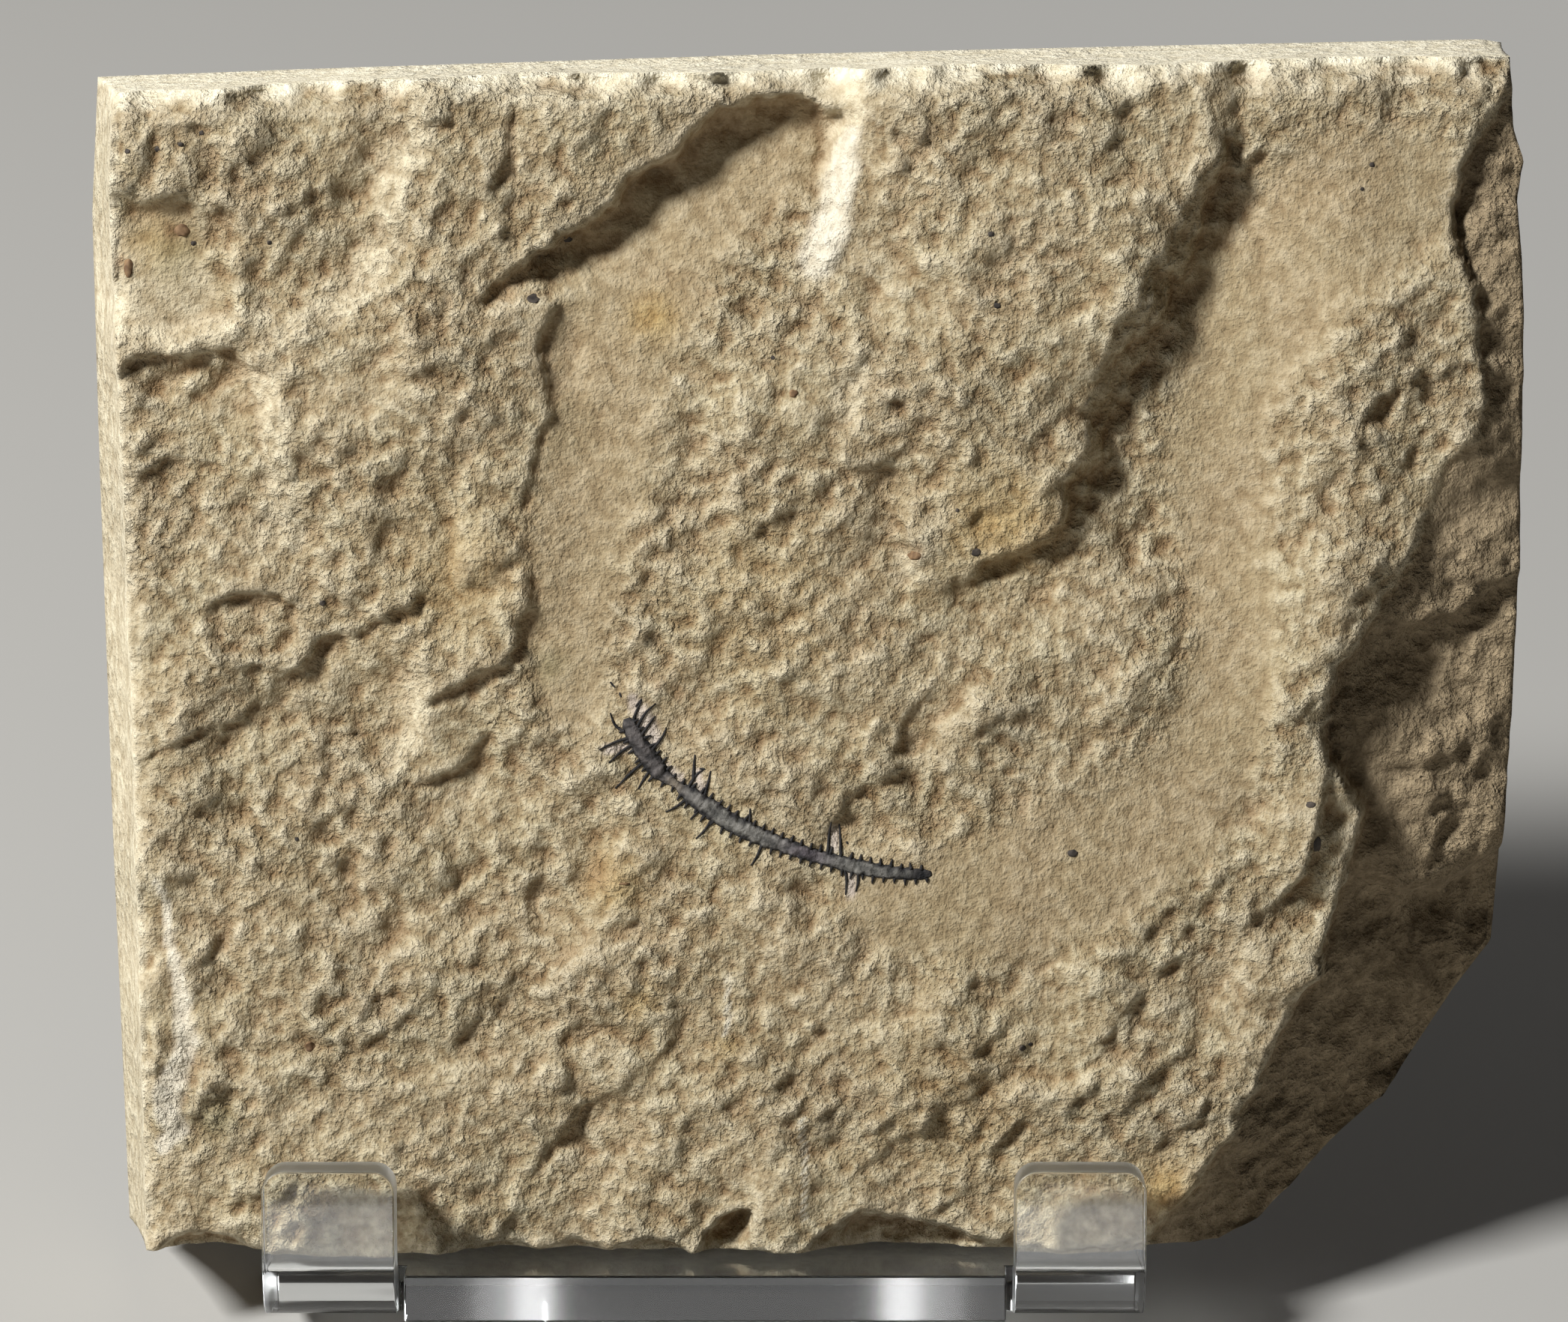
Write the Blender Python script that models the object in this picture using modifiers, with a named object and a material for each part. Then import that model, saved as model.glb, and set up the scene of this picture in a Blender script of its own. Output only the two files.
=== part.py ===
"""A bristle worm fossil in a split limestone slab, leaning on a clear stand bent from one sheet.

Lengths below are millimetres; MM turns them into metres as the meshes are made.
Slab coordinates are (u, v, w): u to the right along the slab, v up its face, w out of the face.
u = 0 is the slab's middle, v = 0 its sawn bottom and w = 0 its flat back.
"""
import math

import bmesh
import bpy
import numpy as np
from mathutils import Matrix, Vector, noise

MM = 0.001
GAP = 0.3

# Driving sizes.
LEAN_DEGREES = 18.0
SLAB_LEVEL = 11.3
BACK_EDGE_HEIGHT = 0.8
BACK_EDGE_SHRINK = 0.982
SHEET_THICKNESS = 3.0
STAND_LEFT = -34.4
STAND_RIGHT = 21.5
LIP_LEFT_INNER = -26.0
LIP_RIGHT_INNER = 13.2
LIP_HEIGHT = 6.7
LIP_CORNER_RADIUS = 1.4
LIP_FRONT_GAP = 13.4
SHELF_FRONT = 15.3
SHELF_SLOT = 0.5
PLATE_HEIGHT = 50.0
PLATE_CORNER_RADIUS = 6.0
LEG_LEFT = -18.2
LEG_RIGHT = 5.8
FOLD_HEIGHT = 60.0
LEG_SPREAD_DEGREES = 16.0
BEND_RADIUS = 2.3
FOLD_RADIUS = 3.0
BEND_SEGMENTS = 5
FOLD_SEGMENTS = 8
CORNER_SEGMENTS = 4
CUTTER_SIZE = 200.0

# Where the slab's bottom back edge stands over the table, with the whole centred on the origin.
SLAB_EDGE_Y = -11.6
SLAB_EDGE_Z = 2.87

# Front rim of the slab, as (u, v) from corner to corner.
RIM_LEFT = [(-42.2, 0.3), (-42.4, 20.0), (-42.6, 35.0), (-43.0, 49.0), (-43.6, 66.5), (-43.2, 74.2)]
RIM_TOP = [(-43.2, 74.2), (-31.0, 74.8), (-17.0, 75.4), (-4.0, 75.5), (10.0, 76.0), (22.0, 76.0),
           (33.0, 76.4), (43.9, 76.5)]
RIM_RIGHT = [(26.6, 0.3), (29.2, 1.5), (32.4, 4.6), (34.6, 6.9), (37.4, 8.9), (39.5, 12.0),
             (41.8, 15.6), (44.2, 18.8), (44.6, 24.0), (45.0, 34.0), (45.2, 44.0), (45.1, 58.0),
             (44.8, 64.0), (44.5, 67.5), (44.9, 70.0), (44.2, 72.0), (43.9, 76.5)]
RIM_BOTTOM = [(-42.2, 0.3), (-20.0, 0.2), (4.0, 0.2), (26.6, 0.3)]

# Back outline of the slab: sawn at the left, top and bottom, broken away at the lower right.
BACK_LEFT = [(-44.3, 0.0), (-45.0, 25.0), (-45.5, 50.0), (-45.7, 66.0), (-45.2, 74.6)]
BACK_TOP = [(-45.2, 74.6), (-32.0, 75.1), (-4.0, 76.0), (22.5, 76.6), (43.0, 77.0), (44.3, 76.8)]
BACK_RIGHT = [(27.0, 0.0), (29.6, 1.2), (32.8, 4.3), (35.0, 6.6), (37.8, 8.6), (39.9, 11.7),
              (42.2, 15.3), (44.6, 18.5), (45.0, 24.0), (45.4, 34.0), (45.6, 44.0), (45.4, 58.0),
              (45.1, 64.0), (44.8, 67.5), (45.2, 70.0), (44.5, 72.0), (44.3, 76.8)]
BACK_BOTTOM = [(-44.3, 0.0), (27.0, 0.0)]

# Ledges, as (u, v, drop). The ground is lower by the drop on the right of the line's direction.
# The long ledge left of the valley, from its foot up to the top of the bowl, with a notch halfway.
MAIN_LEDGE = [(-25.2, 35.2, 0.0), (-23.8, 36.3, 0.8), (-20.9, 37.8, 1.1), (-19.7, 38.3, 1.3),
              (-18.4, 39.8, 1.1), (-17.8, 42.0, 0.7), (-18.2, 45.0, 0.5), (-18.2, 48.5, 0.5),
              (-17.2, 52.3, 0.6), (-16.3, 54.3, 0.8), (-16.9, 57.0, 1.2), (-16.9, 58.6, 1.3),
              (-16.4, 61.0, 1.0), (-18.0, 61.0, 0.9), (-20.1, 60.2, 0.5), (-20.7, 61.3, 0.8),
              (-20.0, 62.4, 1.3), (-18.2, 63.2, 1.8), (-17.3, 64.3, 2.1), (-15.9, 64.7, 2.4),
              (-15.6, 65.6, 2.5), (-12.1, 67.4, 2.8), (-11.6, 69.2, 3.0), (-10.2, 69.7, 3.0),
              (-8.2, 70.9, 3.0), (-7.2, 72.1, 3.0), (-5.6, 73.7, 3.1), (-3.5, 74.1, 3.1),
              (-0.8, 74.4, 2.9), (0.8, 73.9, 2.5), (1.9, 73.3, 1.8), (2.9, 72.9, 0.0)]
# The cliff right of the central platform, its lower bench and the lip above the right channel.
CENTRE_CLIFF = [(15.4, 46.4, 0.0), (16.1, 48.3, 1.2), (16.0, 50.0, 2.2), (17.0, 52.0, 2.7),
                (16.2, 54.4, 2.9), (18.0, 56.2, 3.1), (18.5, 58.3, 3.1), (19.4, 60.0, 2.8),
                (20.6, 60.9, 2.3), (20.6, 63.4, 2.0), (21.6, 65.0, 1.8), (22.0, 66.7, 1.7),
                (23.6, 68.4, 1.7), (23.9, 70.0, 1.7), (24.8, 70.6, 1.5), (24.4, 72.6, 1.2),
                (25.0, 74.0, 1.0), (24.3, 76.0, 0.8), (23.8, 78.0, 0.5)]
CLIFF_END = [(7.6, 43.2, 0.0), (9.8, 44.1, 0.8), (11.3, 45.0, 1.4), (14.0, 46.1, 1.9),
             (15.2, 46.6, 1.9), (16.1, 48.3, 1.3), (16.0, 50.0, 0.6), (16.6, 51.4, 0.0)]
CLIFF_BENCH = [(20.4, 56.6, 0.0), (21.5, 58.9, 0.6), (22.2, 61.6, 1.0), (23.5, 63.8, 1.4),
               (24.5, 66.2, 1.8), (25.2, 68.8, 2.2), (25.7, 70.6, 2.2), (26.0, 72.1, 1.7),
               (27.0, 71.8, 1.7), (27.9, 70.9, 1.2), (28.8, 71.3, 0.8), (31.0, 70.3, 0.5),
               (34.5, 69.0, 0.0)]
# The white slope right of the bowl and the notch at its foot.
WHITE_FACET = [(4.4, 76.4, 0.4), (3.6, 74.2, 1.1), (3.3, 72.2, 1.9), (3.2, 70.4, 2.1), (2.8, 68.2, 2.2),
               (2.6, 66.4, 2.2), (2.1, 64.6, 2.0), (1.8, 63.4, 1.4), (1.4, 62.4, 0.0)]
FACET_FOOT = [(-0.9, 63.4, 0.0), (-0.3, 63.7, 0.9), (1.1, 63.7, 1.0), (2.2, 63.6, 0.8),
              (4.0, 63.1, 0.7), (5.8, 62.2, 0.0)]
# The raised terrace left of the bowl.
TERRACE_SIDE = [(-21.3, 77.0, 0.5), (-22.4, 73.4, 1.6), (-23.6, 70.3, 2.1), (-24.9, 68.5, 2.1),
                (-25.0, 66.8, 1.9), (-24.6, 65.2, 1.8), (-26.0, 63.2, 1.9), (-27.4, 61.1, 1.9),
                (-29.4, 59.7, 1.5), (-31.2, 58.7, 1.1), (-33.4, 57.4, 0.3)]
TERRACE_CREASE = [(-20.4, 67.9, 0.0), (-19.2, 69.6, 0.8), (-18.8, 71.2, 0.9), (-18.5, 73.0, 0.9),
                  (-18.4, 74.0, 0.0)]
TERRACE_EDGE = [(-17.7, 73.8, 0.4), (-17.6, 71.0, 0.7), (-17.7, 69.0, 0.6), (-18.2, 66.0, 0.0)]
TERRACE_SLIT = [(-24.8, 67.8, 0.0), (-23.6, 68.3, 0.3), (-21.4, 68.4, 0.3), (-19.4, 68.7, 0.0)]
# The margin below the sawn top, where the face falls away to the edge.
TOP_MARGIN = [(6.0, 77.2, 0.4), (-3.5, 76.3, 0.4), (-8.5, 75.9, 0.6), (-10.2, 75.2, 1.0),
              (-11.6, 74.1, 1.3), (-14.0, 73.1, 1.3), (-16.0, 73.3, 1.1), (-18.2, 73.5, 1.0),
              (-20.5, 73.9, 0.9), (-22.3, 74.3, 0.9), (-25.5, 74.8, 0.8), (-31.0, 74.9, 0.8),
              (-37.0, 74.2, 0.9), (-42.0, 73.2, 0.9), (-46.0, 72.2, 0.7)]
# The square patch at the left and the steps below it.
PATCH_STEP = [(-46.5, 54.5, 0.6), (-43.9, 56.2, 1.4), (-42.9, 57.3, 1.9), (-42.0, 58.0, 2.1),
              (-40.4, 58.0, 2.1), (-38.2, 58.2, 2.3), (-36.5, 58.2, 2.2), (-34.8, 57.8, 1.9),
              (-33.7, 57.2, 1.0), (-32.6, 56.8, 0.0)]
PATCH_SIDE = [(-33.2, 57.8, 0.2), (-32.9, 55.4, 1.2), (-32.4, 52.4, 1.5), (-32.0, 49.4, 1.4),
              (-32.6, 46.6, 0.9), (-33.4, 44.4, 0.0)]
PATCH_TOP = [(-46.0, 67.6, 0.5), (-42.4, 67.4, 0.6), (-39.6, 67.4, 0.6), (-36.6, 67.2, 0.5),
             (-34.8, 66.4, 0.0)]
UPPER_SLIT = [(-46.0, 48.6, 0.1), (-42.6, 50.4, 0.5), (-41.0, 51.2, 0.6), (-39.4, 51.6, 0.7),
              (-38.4, 51.5, 0.5), (-37.0, 51.1, 0.5), (-35.6, 51.0, 0.5), (-34.6, 51.9, 0.2),
              (-34.0, 52.1, 0.0)]
SLANT_CRACK = [(-43.6, 43.4, 0.1), (-42.3, 44.6, 0.6), (-41.2, 45.6, 0.7), (-40.2, 46.3, 0.5),
               (-39.0, 46.6, 0.5), (-37.4, 47.7, 0.4), (-35.6, 48.3, 0.2), (-34.8, 48.5, 0.0)]
MID_SLIT = [(-31.8, 53.7, 0.0), (-30.6, 53.1, 0.4), (-29.2, 53.0, 0.4), (-27.8, 53.4, 0.5),
            (-26.4, 54.4, 0.4), (-24.8, 54.9, 0.0)]
LOW_SLIT = [(-31.2, 51.2, 0.0), (-29.6, 50.5, 0.3), (-27.4, 51.2, 0.2), (-24.6, 52.6, 0.0)]
# The oval dish, the crease under it and the shelf at the left edge.
OVAL_CREASE = [(-37.4, 38.7, 0.0), (-35.0, 38.5, 0.7), (-33.2, 38.1, 1.1), (-32.0, 38.0, 1.3),
               (-31.3, 39.0, 1.4), (-30.6, 40.1, 1.4), (-28.3, 40.3, 1.3), (-27.5, 41.2, 1.4),
               (-26.0, 42.0, 1.3), (-24.4, 42.7, 1.0), (-22.4, 43.8, 0.5), (-20.4, 44.2, 0.0)]
LEFT_SHELF = [(-46.5, 30.2, 0.4), (-42.4, 32.0, 1.1), (-41.5, 33.0, 1.3), (-39.6, 33.6, 1.2),
              (-38.2, 34.4, 1.0), (-36.4, 34.8, 1.0), (-35.3, 35.8, 0.9), (-35.5, 37.4, 0.6),
              (-35.3, 38.3, 0.0)]
SHELF_SLIT = [(-30.8, 33.3, 0.0), (-29.4, 33.8, 0.4), (-27.6, 33.9, 0.4), (-25.6, 34.2, 0.0)]
SHELF_NICK = [(-30.0, 34.2, 0.0), (-29.0, 34.9, 0.4), (-27.4, 35.7, 0.0)]
# The tongue that hangs below the main ledge.
TONGUE_SIDE = [(-23.9, 38.4, 0.1), (-23.6, 36.3, 0.9), (-23.7, 34.2, 1.2), (-24.1, 33.0, 1.2),
               (-25.1, 31.7, 0.9), (-26.4, 30.1, 0.0)]
TONGUE_FOOT = [(-26.4, 30.2, 0.0), (-25.2, 30.9, 1.3), (-24.0, 31.0, 1.6), (-22.4, 31.6, 1.6),
               (-21.3, 32.4, 1.4), (-20.2, 33.8, 1.0), (-19.4, 34.5, 0.4), (-18.4, 35.1, 0.0)]
TONGUE_SLIT = [(-22.4, 26.1, 0.0), (-20.5, 26.4, 0.4), (-17.4, 26.7, 0.5), (-15.4, 26.6, 0.4),
               (-13.6, 28.6, 0.0)]
# Creases of the middle.
MID_HOLLOW = [(-9.6, 52.5, 0.0), (-7.0, 52.8, 0.6), (-4.0, 52.6, 0.8), (-2.0, 52.7, 0.6),
              (-1.0, 53.6, 0.0)]
MID_BAND = [(-1.2, 49.4, 0.0), (0.8, 50.2, 0.6), (2.6, 51.0, 0.8), (5.2, 51.1, 0.8), (7.5, 51.3, 0.6),
            (10.4, 52.0, 0.0)]
CENTRE_CREASE = [(4.6, 32.4, 0.0), (5.4, 33.3, 0.6), (6.0, 34.7, 0.7), (7.2, 36.3, 0.5),
                 (8.3, 38.1, 0.5), (9.2, 39.4, 0.4), (10.6, 39.8, 0.0)]
LOWER_DIAGONAL = [(-4.2, 12.4, 0.0), (-1.5, 15.0, 0.5), (0.8, 16.4, 0.6), (2.1, 18.2, 0.8),
                  (2.8, 20.2, 0.7), (4.0, 22.1, 0.0)]
LOWER_GROOVE = [(-18.8, 4.6, 0.0), (-17.3, 6.6, 0.9), (-16.2, 8.2, 1.1), (-14.6, 9.6, 0.8),
                (-12.8, 10.5, 0.0)]
FOOT_GROOVE = [(1.6, 4.8, 0.0), (3.8, 6.0, 0.6), (5.3, 7.2, 0.7), (6.1, 8.4, 0.6), (7.4, 9.9, 0.0)]
RIGHT_GROOVE = [(17.5, 12.0, 0.0), (18.6, 13.6, 0.6), (19.4, 15.2, 0.7), (20.4, 16.9, 0.6),
                (21.6, 17.9, 0.0)]
RIGHT_SLIT = [(10.4, 18.0, 0.0), (12.0, 18.6, 0.3), (15.2, 19.7, 0.4), (17.2, 21.1, 0.0)]
# The ledge between the right channel and the lower right, turning up along the broken edge.
RIGHT_LEDGE = [(18.6, 19.4, 0.0), (20.6, 20.4, 0.4), (22.4, 21.7, 0.6), (25.6, 21.8, 0.7),
               (28.4, 22.1, 0.9), (29.6, 23.0, 1.2), (31.1, 24.6, 1.5), (31.9, 26.2, 1.6),
               (32.4, 28.6, 1.4), (32.6, 30.8, 0.8), (32.8, 32.4, 0.0)]
# The bruise near the left edge and the nicks beside it.
BRUISE = [(-41.2, 25.0, 0.0), (-40.2, 21.5, 0.5), (-39.3, 18.0, 0.6), (-38.7, 16.0, 0.8),
          (-38.7, 14.0, 0.9), (-37.9, 12.3, 0.7), (-38.5, 10.6, 0.6), (-39.1, 9.4, 0.8),
          (-39.5, 8.0, 0.7), (-40.6, 7.0, 0.0)]
BRUISE_STEP = [(-39.8, 9.3, 0.0), (-38.6, 9.4, 1.0), (-37.4, 9.2, 0.8), (-36.5, 8.4, 0.0)]
NICK_ARC = [(-38.5, 19.0, 0.0), (-37.9, 20.7, 0.4), (-36.8, 21.7, 0.5), (-35.0, 21.9, 0.4),
            (-33.0, 21.8, 0.0)]
NICK_UPPER = [(-39.6, 17.5, 0.0), (-38.6, 17.8, 0.4), (-37.0, 18.1, 0.4), (-35.6, 18.9, 0.0)]
NICK_LOWER = [(-38.2, 10.6, 0.0), (-37.0, 11.2, 0.4), (-35.4, 11.2, 0.4), (-34.0, 10.6, 0.0)]
# Chips knocked out of the bottom edge.
CHIP_LEFT = [(-43.0, 0.2, 0.0), (-41.8, 0.5, 1.0), (-40.3, 1.3, 2.4), (-38.3, 1.5, 2.8),
             (-36.9, 1.2, 2.4), (-35.0, 0.8, 1.6), (-31.0, 0.5, 0.8), (-28.0, 0.2, 0.0)]
CHIP_MIDDLE = [(-23.4, 0.1, 0.0), (-22.2, 0.9, 1.6), (-19.4, 1.2, 2.2), (-17.2, 0.6, 1.4),
               (-15.0, 1.3, 2.0), (-12.5, 0.8, 1.6), (-9.1, 1.3, 2.0), (-7.2, 0.5, 1.2),
               (-6.2, 2.0, 2.4), (-4.4, 3.2, 2.8), (-3.5, 2.8, 2.4), (-3.0, 0.9, 1.2), (-1.2, 0.1, 0.0)]
CHIP_RIGHT = [(-0.6, 0.2, 0.0), (1.4, 2.0, 2.4), (3.4, 2.9, 3.4), (5.2, 2.9, 3.4), (8.0, 2.2, 2.8),
              (12.5, 1.4, 2.0), (17.0, 1.1, 1.6), (21.5, 1.6, 1.8), (24.0, 1.0, 1.0)]
# Terraces on the broken right flank.
FLANK_UPPER_STEP = [(34.0, 39.4, 0.0), (36.0, 40.6, 1.6), (39.0, 41.0, 2.2), (41.9, 41.8, 2.4),
                    (43.2, 43.2, 2.0), (46.5, 44.8, 1.4)]
FLANK_LOWER_STEP = [(35.6, 25.4, 0.0), (37.0, 24.0, 1.6), (38.2, 23.3, 2.4), (40.2, 23.3, 2.8),
                    (42.0, 24.0, 2.8), (43.6, 25.5, 2.2), (46.5, 27.0, 1.5)]
FLANK_CRACK = [(35.8, 31.2, 0.0), (37.2, 31.5, 0.7), (39.2, 31.4, 0.7), (41.4, 32.3, 0.6),
               (44.6, 34.2, 0.4)]
FLANK_RIFT = [(39.4, 23.6, 0.0), (39.9, 25.0, 0.8), (40.3, 26.6, 0.8), (40.8, 28.6, 0.0)]
# The narrow crevice where the flank meets the face near the top.
FLANK_CREVICE = [(42.0, 53.0, 0.0), (42.5, 54.8, 0.6), (42.4, 57.4, 0.7), (41.9, 59.8, 0.8),
                 (41.9, 61.5, 0.9), (40.9, 63.3, 1.2), (40.5, 65.4, 1.5), (40.5, 68.4, 1.5),
                 (41.4, 70.8, 1.1), (43.2, 73.6, 0.0)]

# Each ledge with the width of its sharp edge, the share of the drop that is there, the width of the
# whole fall and how far its hollow reaches.
LEDGES = [
    (MAIN_LEDGE, 0.7, 0.72, 2.4, 10.0), (CENTRE_CLIFF, 3.2, 0.90, 4.0, 11.0),
    (CLIFF_END, 0.9, 0.80, 2.2, 9.0),
    (CLIFF_BENCH, 1.0, 0.65, 2.6, 8.0), (WHITE_FACET, 2.0, 1.00, 2.0, 8.0),
    (FACET_FOOT, 0.4, 0.50, 2.4, 4.0), (TERRACE_SIDE, 3.0, 0.80, 4.5, 10.0),
    (TERRACE_CREASE, 0.6, 0.60, 1.8, 3.0), (TERRACE_EDGE, 0.4, 0.60, 1.6, 3.0),
    (TERRACE_SLIT, 0.4, 0.45, 1.8, 3.5), (TOP_MARGIN, 1.3, 0.70, 2.6, 12.0),
    (PATCH_STEP, 0.6, 0.50, 4.6, 9.0), (PATCH_SIDE, 2.2, 0.70, 3.6, 8.0),
    (PATCH_TOP, 0.8, 0.50, 2.2, 4.0), (UPPER_SLIT, 0.4, 0.42, 3.0, 6.0),
    (SLANT_CRACK, 0.4, 0.42, 2.6, 6.0), (MID_SLIT, 0.4, 0.36, 2.6, 5.0),
    (LOW_SLIT, 0.4, 0.36, 2.2, 5.0), (OVAL_CREASE, 0.6, 0.45, 4.0, 9.0),
    (LEFT_SHELF, 0.5, 0.45, 4.0, 9.0), (SHELF_SLIT, 0.4, 0.40, 2.0, 4.0),
    (SHELF_NICK, 0.4, 0.40, 1.8, 4.0), (TONGUE_SIDE, 1.6, 0.70, 3.0, 7.0),
    (TONGUE_FOOT, 0.6, 0.45, 4.2, 8.0), (TONGUE_SLIT, 0.5, 0.45, 3.0, 5.0),
    (MID_HOLLOW, 0.7, 0.45, 3.4, 5.0), (MID_BAND, 0.7, 0.45, 3.4, 5.0),
    (CENTRE_CREASE, 0.6, 0.45, 2.6, 4.0), (LOWER_DIAGONAL, 0.7, 0.45, 2.8, 4.0),
    (LOWER_GROOVE, 0.8, 0.50, 2.6, 3.5), (FOOT_GROOVE, 0.6, 0.45, 2.6, 3.5),
    (RIGHT_GROOVE, 0.6, 0.45, 2.6, 3.5), (RIGHT_SLIT, 0.5, 0.40, 2.6, 4.0),
    (RIGHT_LEDGE, 0.7, 0.55, 2.8, 7.0), (BRUISE, 0.8, 0.55, 2.4, 5.0),
    (BRUISE_STEP, 0.5, 0.50, 2.2, 3.5), (NICK_ARC, 0.5, 0.45, 2.4, 3.5),
    (NICK_UPPER, 0.5, 0.45, 2.4, 3.5), (NICK_LOWER, 0.5, 0.45, 2.4, 3.5),
    (CHIP_LEFT, 0.7, 0.70, 1.8, 9.0), (CHIP_MIDDLE, 0.8, 0.70, 2.0, 9.0),
    (CHIP_RIGHT, 1.0, 0.70, 2.4, 9.0),
]
FLANK_LEDGES = [
    (FLANK_UPPER_STEP, 1.0, 0.60, 2.6, 5.0), (FLANK_LOWER_STEP, 1.2, 0.65, 2.8, 8.0),
    (FLANK_CRACK, 0.5, 0.60, 1.6, 2.5), (FLANK_RIFT, 0.5, 0.60, 1.6, 2.0),
    (FLANK_CREVICE, 0.4, 1.00, 0.4, 0.9),
]
# The drop varies along a ledge, near its line.
DROP_VARIATION = 0.55
DROP_WAVELENGTH = 1.9
DROP_LAYER = 13.0

# The front face ends on this line; the slab is spalled and broken away to its right.
FLANK_EDGE = [(20.6, -1.5, 0), (21.8, 1.5, 0), (22.6, 3.0, 0), (24.3, 4.3, 0), (25.6, 6.3, 0),
              (27.0, 8.4, 0), (28.1, 10.5, 0), (29.4, 13.3, 0), (30.2, 15.3, 0), (31.2, 16.8, 0),
              (32.3, 18.1, 0), (32.7, 19.6, 0), (33.0, 21.0, 0), (33.5, 23.0, 0), (34.1, 25.0, 0),
              (34.7, 26.8, 0), (35.1, 28.4, 0), (34.0, 30.2, 0), (32.9, 32.0, 0), (32.3, 34.0, 0),
              (32.9, 36.4, 0), (33.2, 38.2, 0), (34.2, 39.5, 0), (35.2, 40.9, 0), (35.9, 42.3, 0),
              (37.0, 43.7, 0), (38.0, 46.0, 0), (38.6, 48.6, 0), (40.0, 51.6, 0), (41.6, 53.0, 0),
              (42.1, 54.8, 0), (42.0, 57.4, 0), (41.5, 59.8, 0), (41.5, 61.5, 0), (40.5, 63.3, 0),
              (40.1, 65.4, 0), (40.1, 68.4, 0), (41.0, 70.8, 0), (42.6, 72.8, 0), (43.2, 75.0, 0),
              (43.5, 78.0, 0)]
FLANK_EDGE_WIDTH = 0.9
FLANK_LOWEST = 1.4
FLANK_STATIONS = [0.0, 8.0, 16.0, 21.0, 23.0, 26.0, 30.0, 36.0, 38.0, 41.0, 46.0, 50.0, 54.0, 60.0, 64.0,
                  70.0, 74.0, 77.0]
FLANK_DROP = [0.3, 0.5, 1.0, 1.6, 1.8, 2.0, 2.2, 2.2, 1.8, 0.9, 0.4, 0.3, 0.25, 0.3, 0.6, 0.6, 0.5, 0.4]
FLANK_OUTER_LEVEL = [7.6, 5.0, 3.2, 3.0, 4.4, 6.4, 7.2, 7.4, 7.8, 8.8, 8.8, 9.0, 9.6, 10.0, 9.8, 9.8,
                     9.9, 10.2]

# Rounded swells and hollows, as (u, v, reach along u, reach along v, rise).
SWELLS = [
    (-33.0, 68.0, 9.0, 6.0, 0.4), (-27.0, 50.0, 7.0, 9.0, 0.5), (12.0, 64.0, 9.0, 10.0, 0.9),
    (4.0, 56.0, 9.0, 7.0, 0.3), (34.0, 58.0, 5.0, 9.0, 0.7), (33.0, 42.0, 3.5, 7.0, 1.0),
    (-14.0, 50.0, 3.0, 12.0, -0.3), (25.0, 45.0, 3.5, 12.0, -0.7), (20.0, 30.0, 9.0, 5.0, -0.4),
    (-33.0, 12.0, 10.0, 9.0, 0.3), (6.0, 8.0, 14.0, 6.0, 0.3), (2.2, 47.4, 3.0, 2.0, 0.5),
    (7.4, 46.4, 2.2, 2.4, 0.4), (-13.8, 27.2, 1.8, 2.2, -0.5), (-31.4, 13.7, 1.0, 0.7, -0.7),
    (-30.2, 27.3, 1.0, 0.8, -0.6), (-28.9, 24.6, 0.7, 2.0, -0.6), (-27.2, 16.6, 1.4, 0.9, -0.5),
    (7.9, 39.5, 0.9, 0.6, -0.5), (-12.6, 14.6, 1.6, 0.6, -0.5), (-19.5, 49.0, 0.9, 0.7, -0.5),
    (-34.6, 28.3, 4.0, 1.2, -0.5), (-4.8, 54.8, 3.0, 1.4, 0.3), (19.6, 36.2, 2.0, 1.4, 0.4),
]
# Two flat-floored dishes on the left: (u, v, half width, half height, depth, roundness power).
PANS = [(-39.8, 63.4, 4.0, 4.1, 0.8, 6.0), (-34.8, 40.6, 3.0, 2.0, 0.8, 2.4)]
PAN_RIM = 0.34

# The face is rounded down to the sawn top and left edges: (edge line, reach, fall).
ROUNDED_RIMS = [(RIM_TOP, 2.0, 1.2), (RIM_LEFT, 1.0, 0.5)]
RIM_RAGGEDNESS = 1.6
RIM_WAVELENGTH = 2.6
RIM_LAYER = 53.0

# Fine-grained smooth ground: the valley below the main ledge, the right channel and its mouth.
SMOOTH_VALLEY = [(-0.5, 72.0, 3.6), (-6.0, 69.0, 4.0), (-10.0, 64.0, 4.6), (-12.8, 58.0, 4.2),
                 (-13.5, 52.0, 3.6), (-14.6, 46.0, 3.0), (-15.4, 40.0, 2.4), (-15.0, 36.0, 1.8)]
SMOOTH_CHANNEL = [(37.0, 68.0, 4.0), (32.5, 66.5, 5.0), (28.8, 61.5, 4.4), (26.2, 55.5, 3.2),
                  (25.6, 50.0, 3.0), (26.9, 44.0, 2.6), (26.9, 37.5, 2.6), (25.5, 32.0, 3.2),
                  (21.0, 27.0, 4.2), (13.0, 23.5, 4.2), (5.0, 22.5, 2.5)]
SMOOTH_PAN = [(-40.6, 65.0, 2.4), (-39.8, 62.0, 2.8)]
SMOOTH_SHARE = 0.18
SMOOTH_EDGE_START = 0.65
SMOOTH_EDGE_WIDTH = 0.8

# Lumps of the split surface, as (wavelength, height, noise layer), streaked towards the upper right.
LUMPS = [(7.5, 0.62, 0.5), (3.4, 0.42, 4.2), (1.7, 0.30, 7.9)]
STREAK_DEGREES = 48.0
STREAK_STRETCH = 1.18
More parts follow.
